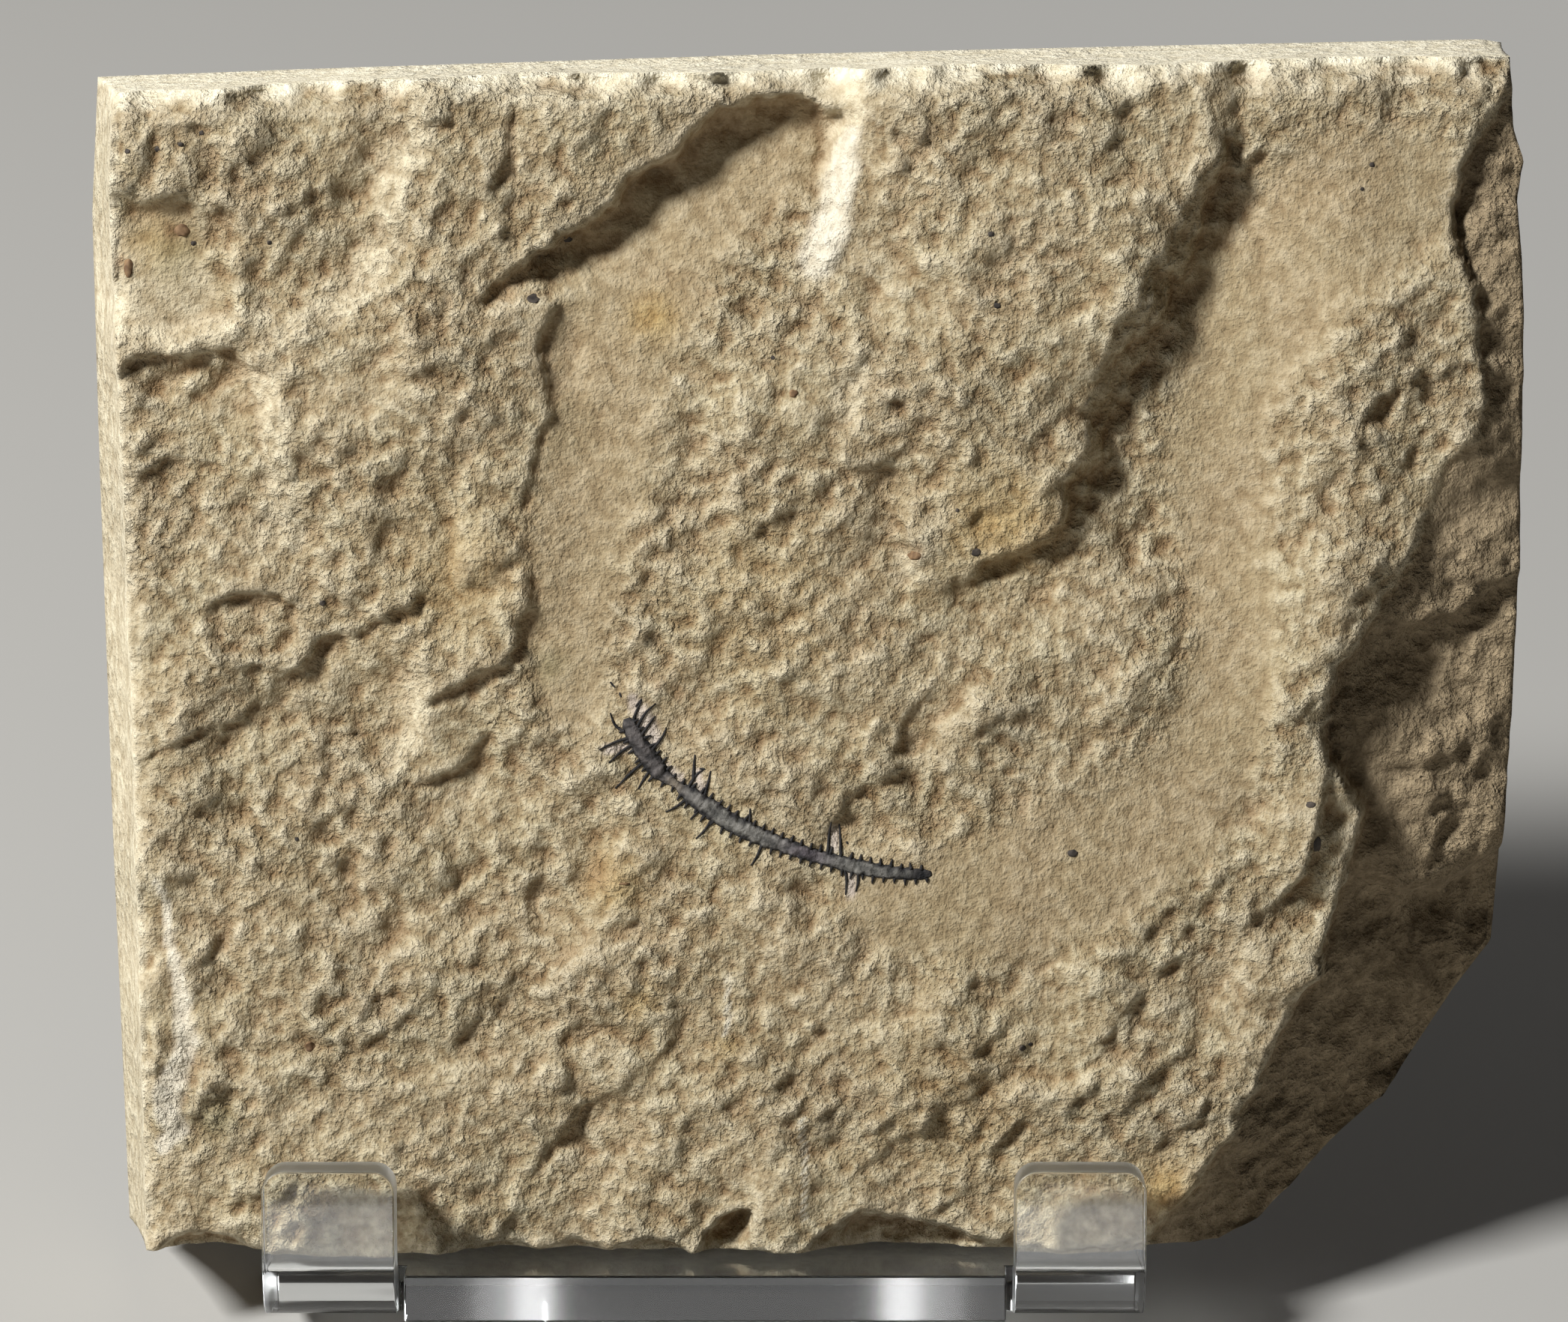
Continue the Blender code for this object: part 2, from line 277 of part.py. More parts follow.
# Random shifts that make ledges ragged, as (wavelength, shift, noise layer).
WANDER = [(2.4, 0.42, 41.0)]
SHIFT_LAYER_STEP = 16.0
LINE_BLEND = 0.7
SQUARE_BIAS = 0.001
OUTLINE_MARGIN = 0.01

# Resolution of the height grid and the share of its triangles that is kept.
GRID_COLUMNS = 230
GRID_ROWS = 190
KEPT_SHARE = 0.068
SIDE_RINGS = 2
WELD = 0.001

# The worm's spine, as (u, v, full width), from head to tail, with a waist behind the head.
SPINE = [(-11.35, 34.75, 0.50), (-11.2, 34.3, 1.00), (-10.8, 33.5, 1.20), (-10.4, 32.8, 1.25),
         (-9.8, 32.0, 1.35), (-9.3, 31.3, 1.20), (-8.8, 30.9, 0.85), (-8.3, 30.6, 0.55),
         (-7.85, 30.25, 0.80), (-7.3, 29.85, 1.20), (-6.2, 29.1, 1.38), (-5.1, 28.35, 1.32),
         (-3.8, 27.65, 1.26), (-2.6, 27.1, 1.15), (-1.2, 26.6, 1.05), (0.4, 26.0, 0.92),
         (1.9, 25.6, 0.98), (3.3, 25.25, 1.05), (4.8, 25.0, 0.92), (6.3, 24.85, 0.85),
         (7.5, 24.8, 0.75), (7.95, 24.85, 0.35)]
SPINE_STEP = 0.34
RING_SWELL = 0.10
BODY_FLATNESS = 0.55
BODY_RISE = -0.05
BODY_RESOLUTION = 2
BRISTLE_RESOLUTION = 1

# The worm's longer bristles, each from its root in the body to its tip, as (u, v) points.
BRISTLES = [
    [(-11.0, 34.3), (-10.8, 35.1), (-10.4, 35.9)], [(-10.8, 34.0), (-10.15, 35.2), (-9.5, 35.7)],
    [(-10.5, 33.6), (-9.9, 34.4), (-9.55, 34.9)], [(-9.8, 32.7), (-9.1, 33.5), (-8.85, 34.1)],
    [(-11.3, 33.8), (-12.1, 34.2), (-12.4, 35.1)], [(-11.2, 33.5), (-12.15, 33.2), (-13.1, 32.75)],
    [(-10.8, 33.2), (-11.85, 32.5), (-12.5, 31.9)], [(-10.2, 32.0), (-11.1, 31.25), (-12.1, 30.2)],
    [(-9.6, 31.8), (-10.35, 30.75), (-10.65, 30.2)], [(-7.4, 29.8), (-8.25, 29.05), (-8.9, 28.75)],
    [(-6.6, 29.2), (-6.95, 28.7), (-7.35, 28.3)], [(-5.8, 28.6), (-6.4, 27.6), (-7.0, 27.05)],
    [(-2.7, 27.0), (-3.1, 25.95), (-3.5, 25.4)], [(-7.6, 30.1), (-6.95, 31.25), (-6.5, 31.5)],
    [(-7.15, 30.8), (-7.1, 31.7), (-7.05, 32.45)], [(-6.5, 29.6), (-6.15, 30.9), (-6.05, 31.45)],
    [(-3.6, 27.9), (-3.55, 28.6), (-3.55, 29.05)], [(1.35, 25.9), (1.45, 27.2), (1.6, 28.1)],
    [(2.2, 25.6), (2.2, 26.7), (2.1, 27.9)], [(2.3, 25.6), (2.6, 24.5), (2.5, 23.45)],
    [(3.3, 25.1), (3.3, 24.3), (3.15, 23.7)],
]
BRISTLE_ROOT_RADIUS = 0.16
BRISTLE_TIP_RADIUS = 0.09
WORM_BED_HALF_WIDTH = 0.5
WORM_BED_REACH = 2.6
WORM_BED_CALM = 0.7
POCKET_OPEN_ABOVE = 1.2
POCKET_STEP = 1.0

# Colours as (red, green, blue) with roughness.
STONE = ((0.60, 0.48, 0.33), 0.9)
FOSSIL = ((0.05, 0.048, 0.05), 0.55)
ACRYLIC = ((0.93, 0.95, 0.95), 0.05)


def clear_scene():
    for item in list(bpy.data.objects):
        bpy.data.objects.remove(item)


def new_collection(name):
    collection = bpy.data.collections.new(name)
    bpy.context.scene.collection.children.link(collection)
    return collection


def material(name, look, transmission=0.0):
    colour, roughness = look
    made = bpy.data.materials.new(name)
    made.use_nodes = True
    shader = made.node_tree.nodes["Principled BSDF"]
    shader.inputs["Base Color"].default_value = (*colour, 1.0)
    shader.inputs["Roughness"].default_value = roughness
    shader.inputs["Metallic"].default_value = 0.0
    shader.inputs["Transmission Weight"].default_value = transmission
    return made


def object_from_bmesh(name, shape, collection):
    mesh = bpy.data.meshes.new(name)
    shape.to_mesh(mesh)
    shape.free()
    made = bpy.data.objects.new(name, mesh)
    collection.objects.link(made)
    return made


def hide_as_tool(item):
    item.hide_render = True
    item.display_type = "WIRE"


def smooth_step(share):
    share = np.clip(share, 0.0, 1.0)
    return share * share * (3.0 - 2.0 * share)


def line_field(u, v, line):
    """Distance to an open line, whether a point is right of its direction, and its third value."""
    points = np.array(line, dtype=float)
    start = points[:-1]
    step = points[1:] - points[:-1]
    length = np.hypot(step[:, 0], step[:, 1])
    from_u = u[:, None] - start[:, 0]
    from_v = v[:, None] - start[:, 1]
    along = np.clip((from_u * step[:, 0] + from_v * step[:, 1]) / length**2, 0.0, 1.0)
    distance = np.hypot(from_u - along * step[:, 0], from_v - along * step[:, 1])
    across = (from_u * step[:, 1] - from_v * step[:, 0]) / length
    # At a shared corner both segments are as near; the one seen more squarely knows the side.
    nearest = np.argmin(distance - SQUARE_BIAS * np.abs(across), axis=1)
    row = np.arange(len(u))
    closest = distance[row, nearest]
    weight = np.exp((closest[:, None] - distance) / LINE_BLEND)
    value = (weight * (start[:, 2] + along * step[:, 2])).sum(axis=1) / weight.sum(axis=1)
    return closest, across[row, nearest] > 0.0, value


def noise_layer(u, v, wavelength, layer):
    """One octave of smooth noise, from -1 to 1."""
    return np.array([noise.noise(Vector((a / wavelength, b / wavelength, layer))) for a, b in zip(u, v)])


def streaked(u, v):
    """Coordinates along and across the streaks, squeezed so that noise stretches along them."""
    angle = math.radians(STREAK_DEGREES)
    along = u * math.cos(angle) + v * math.sin(angle)
    across = v * math.cos(angle) - u * math.sin(angle)
    return along / STREAK_STRETCH, across


def shifted(u, v, waves):
    """Points moved at random by waves given as (wavelength, shift, noise layer)."""
    shift_u = sum(shift * noise_layer(u, v, length, layer) for length, shift, layer in waves)
    shift_v = sum(shift * noise_layer(u, v, length, layer + SHIFT_LAYER_STEP)
                  for length, shift, layer in waves)
    return u + shift_u, v + shift_v


def lumps(u, v):
    """Split-rock lumps."""
    along, across = streaked(u, v)
    total = np.zeros(len(u))
    for wavelength, height, layer in LUMPS:
        total += height * noise_layer(along, across, wavelength, layer)
    return total


def smooth_ground(u, v):
    """1 on the fine-grained floor of the valley and channel, 0 on the rough split surface."""
    share = np.zeros(len(u))
    for line in (SMOOTH_VALLEY, SMOOTH_CHANNEL, SMOOTH_PAN):
        distance, _, reach = line_field(u, v, line)
        past = (distance / reach - SMOOTH_EDGE_START) / SMOOTH_EDGE_WIDTH
        share = np.maximum(share, 1.0 - smooth_step(past))
    return share


def near_worm(u, v):
    """1 beside the worm, falling to 0 past its bristles."""
    distance = line_field(u, v, SPINE)[0]
    return 1.0 - smooth_step((distance - WORM_BED_HALF_WIDTH) / WORM_BED_REACH)


def swells(u, v):
    total = np.zeros(len(u))
    for centre_u, centre_v, reach_u, reach_v, rise in SWELLS:
        away = ((u - centre_u) / reach_u) ** 2 + ((v - centre_v) / reach_v) ** 2
        total += rise * np.exp(-away)
    return total


def pans(u, v):
    total = np.zeros(len(u))
    for centre_u, centre_v, half_u, half_v, depth, power in PANS:
        away = (np.abs((u - centre_u) / half_u) ** power + np.abs((v - centre_v) / half_v) ** power)
        edge = away ** (1.0 / power)
        total -= depth * (1.0 - smooth_step((edge - 1.0) / PAN_RIM + 0.5))
    return total


def ledge_fall(u, v, ledges):
    """How far the ground lies below its level on the low sides of ledges."""
    total = np.zeros(len(u))
    ragged = DROP_VARIATION * noise_layer(u, v, DROP_WAVELENGTH, DROP_LAYER)
    for line, edge_width, edge_share, width, reach in ledges:
        distance, is_low, drop = line_field(u, v, line)
        steep = edge_share * smooth_step(distance / edge_width)
        gentle = (1.0 - edge_share) * smooth_step(distance / width)
        varied = 1.0 + ragged * np.exp(-distance / DROP_WAVELENGTH)
        fall = drop * varied * (steep + gentle) * np.exp(-distance / reach)
        total += np.where(is_low, fall, 0.0)
    return total


def flat_line(line):
    """A line of (u, v) points with no third value."""
    return [(a, b, 0.0) for a, b in line]


def rim_fall(u, v):
    """How far the face is rounded down towards its sawn edges."""
    total = np.zeros(len(u))
    ragged = np.maximum(1.0 + RIM_RAGGEDNESS * noise_layer(u, v, RIM_WAVELENGTH, RIM_LAYER), 0.0)
    for line, reach, fall in ROUNDED_RIMS:
        distance = line_field(u, v, flat_line(line))[0]
        total += fall * ragged * (1.0 - smooth_step(distance / reach))
    return total


def front_bed(u, v):
    """Height of the front face without its lumps."""
    return SLAB_LEVEL + swells(u, v) + pans(u, v) - ledge_fall(u, v, LEDGES) - rim_fall(u, v)


def flank(u, v, front):
    """The front height, carried past the flank edge down to the back outline."""
    distance, is_flank, _ = line_field(u, v, FLANK_EDGE)
    to_outline = line_field(u, v, flat_line(RIM_RIGHT))[0]
    share = distance / (distance + to_outline + OUTLINE_MARGIN)
    drop = np.interp(v, FLANK_STATIONS, FLANK_DROP)
    outer = np.interp(v, FLANK_STATIONS, FLANK_OUTER_LEVEL)
    level = (front - drop) * (1.0 - share) + outer * share - ledge_fall(u, v, FLANK_LEDGES)
    level = np.maximum(level, FLANK_LOWEST)
    blend = np.where(is_flank, smooth_step(distance / FLANK_EDGE_WIDTH), 0.0)
    return front + blend * (level - front)


def face_height(u, v):
    """Height of the slab's front over its flat back."""
    ragged_u, ragged_v = shifted(u, v, WANDER)
    calm = near_worm(u, v)
    ragged_u = ragged_u + calm * (u - ragged_u)
    ragged_v = ragged_v + calm * (v - ragged_v)
    rough = 1.0 - (1.0 - SMOOTH_SHARE) * smooth_ground(u, v)
    rough *= 1.0 - WORM_BED_CALM * calm
    bed = flank(ragged_u, ragged_v, front_bed(ragged_u, ragged_v))
    return bed + rough * lumps(u, v)


def walk(line, shares):
    """Points at the given shares of a line's length."""
    points = np.array(line, dtype=float)
    lengths = np.hypot(*np.diff(points, axis=0).T)
    travelled = np.concatenate([[0.0], np.cumsum(lengths)])
    at = shares * travelled[-1]
    return np.stack([np.interp(at, travelled, points[:, axis]) for axis in (0, 1)], axis=-1)


def patch(sides, across, up):
    """Points inside four joined sides, at shares across and up between them."""
    left, right, bottom, top = sides
    a = across[:, None]
    b = up[:, None]
    between_rows = (1 - b) * walk(bottom, across) + b * walk(top, across)
    between_columns = (1 - a) * walk(left, up) + a * walk(right, up)
    low = (1 - a) * np.array(bottom[0]) + a * np.array(bottom[-1])
    high = (1 - a) * np.array(top[0]) + a * np.array(top[-1])
    return between_rows + between_columns - (1 - b) * low - b * high


def slab_mesh():
    """A grid whose two outer rings are folded down as the sides and whose back is capped flat."""
    columns = GRID_COLUMNS + 2 * SIDE_RINGS
    rows = GRID_ROWS + 2 * SIDE_RINGS
    shape = bmesh.new()
    bmesh.ops.create_grid(shape, x_segments=columns, y_segments=rows, size=1.0)
    corner = np.array([vertex.co[:2] for vertex in shape.verts])
    index = np.rint((corner + 1.0) / 2.0 * (columns, rows)).astype(int)
    ring = np.minimum(index, (columns, rows) - index).min(axis=1)
    across = np.clip((index[:, 0] - SIDE_RINGS) / GRID_COLUMNS, 0.0, 1.0)
    up = np.clip((index[:, 1] - SIDE_RINGS) / GRID_ROWS, 0.0, 1.0)
    rim = patch((RIM_LEFT, RIM_RIGHT, RIM_BOTTOM, RIM_TOP), across, up)
    back = patch((BACK_LEFT, BACK_RIGHT, BACK_BOTTOM, BACK_TOP), across, up)
    centre = back.mean(axis=0)
    back_edge = centre + (back - centre) * BACK_EDGE_SHRINK
    height = face_height(rim[:, 0], rim[:, 1])
    for vertex, level, front, side, edge, rise in zip(shape.verts, ring, rim, back, back_edge, height):
        if level == 0:
            vertex.co = Vector((*edge, 0.0)) * MM
        elif level == 1:
            vertex.co = Vector((*side, BACK_EDGE_HEIGHT)) * MM
        else:
            vertex.co = Vector((*front, rise)) * MM
    bmesh.ops.remove_doubles(shape, verts=shape.verts, dist=WELD * MM)
    bmesh.ops.holes_fill(shape, edges=[edge for edge in shape.edges if edge.is_boundary])
    bmesh.ops.triangulate(shape, faces=[face for face in shape.faces if len(face.verts) > 4])
    bmesh.ops.recalc_face_normals(shape, faces=shape.faces)
    return shape


def make_slab(parts, pocket_tools):
    slab = object_from_bmesh("limestone_slab", slab_mesh(), parts)
    slab.data.materials.append(material("limestone", STONE))
    thin = slab.modifiers.new("fewer triangles", "DECIMATE")
    thin.ratio = KEPT_SHARE
    thin.use_collapse_triangulate = True
    pocket = slab.modifiers.new("worm pocket", "BOOLEAN")
    pocket.operation = "DIFFERENCE"
    pocket.operand_type = "COLLECTION"
    pocket.collection = pocket_tools
    return slab


def tube_mesh(name, points, radii, resolution):
    """A closed round tube along points in the plane of the face."""
    curve = bpy.data.curves.new(name, "CURVE")
    curve.dimensions = "3D"
    curve.bevel_depth = MM
    curve.bevel_resolution = resolution
    curve.use_fill_caps = True
    spline = curve.splines.new("POLY")
    spline.points.add(len(points) - 1)
    for point, place, radius in zip(spline.points, points, radii):
        point.co = (place[0] * MM, place[1] * MM, 0.0, 1.0)
        point.radius = radius
    holder = bpy.data.objects.new(name, curve)
    bpy.context.scene.collection.objects.link(holder)
    graph = bpy.context.evaluated_depsgraph_get()
    mesh = bpy.data.meshes.new_from_object(holder.evaluated_get(graph))
    bpy.data.objects.remove(holder)
    bpy.data.curves.remove(curve)
    return mesh


def laid_on_bed(mesh, flatness, rise, open_above=0.0):
    """Weld a tube's caps and lay it on the front face, flattened, with its top raised if asked."""
    shape = bmesh.new()
    shape.from_mesh(mesh)
    bmesh.ops.remove_doubles(shape, verts=shape.verts, dist=WELD * MM)
    place = np.array([vertex.co for vertex in shape.verts]) / MM
    bed = front_bed(place[:, 0], place[:, 1])
    for vertex, ground in zip(shape.verts, bed):
        height = vertex.co.z / MM * flatness + rise
        if vertex.co.z > 0.0:
            height += open_above
        vertex.co.z = (ground + height) * MM
    bmesh.ops.recalc_face_normals(shape, faces=shape.faces)
    return shape


def spine_points(step):
    """Points along the spine at an even step, with half widths."""
    spine = np.array(SPINE)
    lengths = np.hypot(*np.diff(spine[:, :2], axis=0).T)
    travelled = np.concatenate([[0.0], np.cumsum(lengths)])
    count = int(round(travelled[-1] / step))
    at = np.linspace(0.0, travelled[-1], count + 1)
    place = np.stack([np.interp(at, travelled, spine[:, axis]) for axis in (0, 1)], axis=-1)
    return place, np.interp(at, travelled, spine[:, 2]) / 2.0


def make_worm_body(name, collection, extra, flatness, open_above, step, ring_swell):
    points, radii = spine_points(step)
    rings = np.where(np.arange(len(radii)) % 2 == 0, 1.0 - ring_swell, 1.0 + ring_swell)
    mesh = tube_mesh(name, points, radii * rings + extra, BODY_RESOLUTION)
    return object_from_bmesh(name, laid_on_bed(mesh, flatness, BODY_RISE, open_above), collection)


def make_bristles(stem, collection, extra, open_above):
    made = []
    for number, points in enumerate(BRISTLES):
        radii = np.linspace(BRISTLE_ROOT_RADIUS, BRISTLE_TIP_RADIUS, len(points)) + extra
        if extra > 0.0:
            first, second = Vector(points[-2]), Vector(points[-1])
            points = points[:-1] + [second + (second - first).normalized() * extra]
        name = f"{stem}_{number:02d}"
        shape = laid_on_bed(tube_mesh(name, points, radii, BRISTLE_RESOLUTION), 1.0, 0.0, open_above)
        made.append(object_from_bmesh(name, shape, collection))
    return made


def make_worm(parts, bristle_tools):
    worm = make_worm_body("fossil_worm", parts, 0.0, BODY_FLATNESS, 0.0, SPINE_STEP, RING_SWELL)
    worm.data.materials.append(material("fossil", FOSSIL))
    for bristle in make_bristles("bristle", bristle_tools, 0.0, 0.0):
        hide_as_tool(bristle)
    join = worm.modifiers.new("bristles", "BOOLEAN")
    join.operation = "UNION"
    join.operand_type = "COLLECTION"
    join.collection = bristle_tools
    return worm


def make_pocket(pocket_tools):
    """The hollow that the worm lies in: its own shape grown by the gap and open at the face."""
    widest = max(width for _, _, width in SPINE) / 2.0
    flatness = (widest * BODY_FLATNESS + GAP) / (widest + GAP)
    body = make_worm_body("pocket_body", pocket_tools, GAP, flatness, POCKET_OPEN_ABOVE, POCKET_STEP, 0.0)
    tools = [body]
    tools += make_bristles("pocket_bristle", pocket_tools, GAP, POCKET_OPEN_ABOVE)
    for tool in tools:
        hide_as_tool(tool)


def stand_point(v, w):
    """World (y, z) in millimetres of a point given up and out of the slab's face."""
    lean = math.radians(LEAN_DEGREES)
    y = SLAB_EDGE_Y + v * math.sin(lean) - w * math.cos(lean)
    z = SLAB_EDGE_Z + v * math.cos(lean) + w * math.sin(lean)
    return Vector((y, z))


def bend(before, corner, after, radius, segments):
    """The arc that rounds one corner of a bent sheet's middle line."""
    to_before = (before - corner).normalized()
    to_after = (after - corner).normalized()
    half = to_before.angle(to_after) / 2.0
    reach = radius / math.tan(half)
    start = corner + to_before * reach
    end = corner + to_after * reach
    centre = corner + (to_before + to_after).normalized() * (radius / math.sin(half))
    first = start - centre
    turn = first.angle_signed(end - centre)
    points = []
    for number in range(segments + 1):
        angle = -turn * number / segments
        points.append(centre + Matrix.Rotation(angle, 2) @ first)
    return points


def sheet_strip(shape, columns, path):
    """A strip of sheet: a grid laid with its columns along x and its rows along the path."""
    made = bmesh.ops.create_grid(shape, x_segments=len(columns) - 1, y_segments=len(path) - 1, size=1.0)
    for vertex in made["verts"]:
        column = round((vertex.co.x + 1.0) / 2.0 * (len(columns) - 1))
        row = round((vertex.co.y + 1.0) / 2.0 * (len(path) - 1))
        y, z = path[row]
        vertex.co = Vector((columns[column], y, z)) * MM


def stand_paths():
    """Middle lines of the sheet's strips, from the lips' tops to the foot of the leg."""
    half = SHEET_THICKNESS / 2.0
    lip_middle = LIP_FRONT_GAP + half
    floor = -GAP - half
    lip_top = stand_point(LIP_HEIGHT, lip_middle)
    front = stand_point(floor, lip_middle)
    shelf_back = stand_point(floor, floor)
    shoulder = stand_point(PLATE_HEIGHT, floor)
    fold = stand_point(FOLD_HEIGHT, floor)
    spread = math.radians(LEG_SPREAD_DEGREES)
    below_table = SHEET_THICKNESS
    drop = fold.y + below_table
    foot = Vector((fold.x + drop * math.tan(spread), -below_table))
    front_arc = bend(shelf_back, front, lip_top, BEND_RADIUS, BEND_SEGMENTS)
    back_arc = bend(front, shelf_back, shoulder, BEND_RADIUS, BEND_SEGMENTS)
    fold_arc = bend(shoulder, fold, foot, FOLD_RADIUS, FOLD_SEGMENTS)
    lips = front_arc + [lip_top]
    flap = [front_arc[0], stand_point(floor, SHELF_FRONT)]
    plate = [front_arc[0]] + back_arc + [shoulder]
    leg = [shoulder] + fold_arc + [foot]
    return lips, flap, plate, leg


def round_corners(shape, corners, radius):
    """Round the sheet's outline at corners given as (x, (y, z))."""
    for x, (y, z) in corners:
        place = Vector((x, y, z)) * MM
        near = min(shape.verts, key=lambda vertex: (vertex.co - place).length)
        bmesh.ops.bevel(shape, geom=[near], offset=radius * MM, segments=CORNER_SEGMENTS, profile=0.5,
                        affect="VERTICES")


def stand_mesh():
    lips, flap, plate, leg = stand_paths()
    slot_left = LIP_LEFT_INNER + SHELF_SLOT
    slot_right = LIP_RIGHT_INNER - SHELF_SLOT
    shape = bmesh.new()
    sheet_strip(shape, [STAND_LEFT, LIP_LEFT_INNER], lips)
    sheet_strip(shape, [LIP_RIGHT_INNER, STAND_RIGHT], lips)
    sheet_strip(shape, [slot_left, LEG_LEFT, LEG_RIGHT, slot_right], flap)
    sheet_strip(shape, [STAND_LEFT, LIP_LEFT_INNER, slot_left, LEG_LEFT, LEG_RIGHT, slot_right,
                        LIP_RIGHT_INNER, STAND_RIGHT], plate)
    sheet_strip(shape, [LEG_LEFT, LEG_RIGHT], leg)
    bmesh.ops.remove_doubles(shape, verts=shape.verts, dist=WELD * MM)
    lip_corners = [(x, lips[-1]) for x in (STAND_LEFT, LIP_LEFT_INNER, LIP_RIGHT_INNER, STAND_RIGHT)]
    round_corners(shape, lip_corners, LIP_CORNER_RADIUS)
    round_corners(shape, [(x, plate[-1]) for x in (STAND_LEFT, STAND_RIGHT)], PLATE_CORNER_RADIUS)
    bmesh.ops.recalc_face_normals(shape, faces=shape.faces)
    return shape


def make_table_cutter(tools):
    """A block below the table plane that cuts the stand's feet flat."""
    size = CUTTER_SIZE * MM
    shape = bmesh.new()
    bmesh.ops.create_cube(shape, size=size, matrix=Matrix.Translation((0.0, 0.0, -size / 2.0)))
    cutter = object_from_bmesh("table_cutter", shape, tools)
    hide_as_tool(cutter)
    return cutter


def make_stand(parts, tools):
    stand = object_from_bmesh("acrylic_stand", stand_mesh(), parts)
    stand.data.materials.append(material("acrylic", ACRYLIC, transmission=1.0))
    thick = stand.modifiers.new("sheet", "SOLIDIFY")
    thick.thickness = SHEET_THICKNESS * MM
    thick.offset = 0.0
    thick.use_even_offset = True
    feet = stand.modifiers.new("flat feet", "BOOLEAN")
    feet.operation = "DIFFERENCE"
    feet.object = make_table_cutter(tools)
    return stand


def make_slab_frame(parts, children):
    """The leaning frame whose origin is the slab's bottom back edge."""
    frame = bpy.data.objects.new("leaning_frame", None)
    parts.objects.link(frame)
    frame.location = (0.0, SLAB_EDGE_Y * MM, SLAB_EDGE_Z * MM)
    frame.rotation_euler = (math.radians(90.0 - LEAN_DEGREES), 0.0, 0.0)
    for child in children:
        child.parent = frame


def main():
    clear_scene()
    parts = new_collection("fossil_worm_slab")
    tools = new_collection("cutters")
    pocket_tools = new_collection("pocket_cutters")
    bristle_tools = new_collection("bristle_tubes")
    make_pocket(pocket_tools)
    worm = make_worm(parts, bristle_tools)
    make_stand(parts, tools)
    slab = make_slab(parts, pocket_tools)
    leaning = [slab, worm, *pocket_tools.objects, *bristle_tools.objects]
    make_slab_frame(parts, leaning)


main()
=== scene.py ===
"""Looks of the fossil worm slab: split limestone, the worm on its face and a clear bent stand."""
import math

import bmesh
import bpy
import numpy as np
from mathutils import Matrix, Vector, noise


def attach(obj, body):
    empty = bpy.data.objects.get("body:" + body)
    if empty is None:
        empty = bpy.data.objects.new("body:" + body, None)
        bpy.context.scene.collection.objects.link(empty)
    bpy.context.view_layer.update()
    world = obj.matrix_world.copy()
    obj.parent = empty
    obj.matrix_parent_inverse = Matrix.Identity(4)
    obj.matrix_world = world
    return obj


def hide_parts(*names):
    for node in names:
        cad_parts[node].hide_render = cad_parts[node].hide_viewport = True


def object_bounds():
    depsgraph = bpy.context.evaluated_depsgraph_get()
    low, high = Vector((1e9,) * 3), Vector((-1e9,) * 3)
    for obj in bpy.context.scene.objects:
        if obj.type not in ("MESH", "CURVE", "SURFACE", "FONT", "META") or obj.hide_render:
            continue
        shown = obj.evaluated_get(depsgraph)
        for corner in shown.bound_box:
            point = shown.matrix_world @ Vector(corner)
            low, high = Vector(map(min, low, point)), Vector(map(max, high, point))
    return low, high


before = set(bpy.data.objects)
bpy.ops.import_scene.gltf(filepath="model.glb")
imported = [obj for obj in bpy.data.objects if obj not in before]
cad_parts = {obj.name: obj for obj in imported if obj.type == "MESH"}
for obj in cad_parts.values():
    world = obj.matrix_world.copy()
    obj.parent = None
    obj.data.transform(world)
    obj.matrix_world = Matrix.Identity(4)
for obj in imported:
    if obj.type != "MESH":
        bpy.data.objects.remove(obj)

CAD_BOX = [list(corner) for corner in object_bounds()]

# Lengths are millimetres unless a name says otherwise; MM turns them into metres.
# Slab coordinates are (u, v, w): u to the right along the slab, v up its face, w out of the face.
MM = 0.001
LEAN_DEGREES = 18.0
SLAB_EDGE_Y = -11.6
SLAB_EDGE_Z = 2.87
SLAB_LEVEL = 11.3
BACK_EDGE_HEIGHT = 0.8
BACK_EDGE_SHRINK = 0.982

# The stand's sheet.
GAP = 0.3
SHEET_THICKNESS = 3.0
STAND_LEFT = -34.4
STAND_RIGHT = 21.5
LIP_LEFT_INNER = -26.0
LIP_RIGHT_INNER = 13.2
LIP_HEIGHT = 6.7
LIP_CORNER_RADIUS = 1.4
LIP_FRONT_GAP = 13.4
SHELF_FRONT = 15.3
SHELF_SLOT = 0.5
PLATE_HEIGHT = 50.0
PLATE_CORNER_RADIUS = 6.0
LEG_LEFT = -18.2
LEG_RIGHT = 5.8
FOLD_HEIGHT = 60.0
LEG_SPREAD_DEGREES = 16.0
BEND_RADIUS = 2.3
FOLD_RADIUS = 3.0
BEND_SEGMENTS = 14
CORNER_SEGMENTS = 8
EDGE_ROUNDING = 0.45
EDGE_SEGMENTS = 3
EDGE_ANGLE_DEGREES = 40.0
# Clear acrylic, polished on its faces and satin on its cut edges.
ACRYLIC_SURFACE = {"Transmission Weight": 1.0, "IOR": 1.49}
SHEET_ROUGHNESS = 0.04
EDGE_ROUGHNESS = 0.42
HAZE_NOISE = (60.0, 2.0)
HAZE_TINTS = [(0.0, (0.90, 0.925, 0.93)), (1.0, (0.97, 0.98, 0.98))]
# A face whose normal has this share of the forward direction is the shelf's cut front edge.
SQUARE_ON = 0.9
# Points nearer than these are one point.
MERGE_DISTANCE = 0.001
GRID_MERGE_DISTANCE = 0.0005
CUT_TOLERANCE = 0.0001

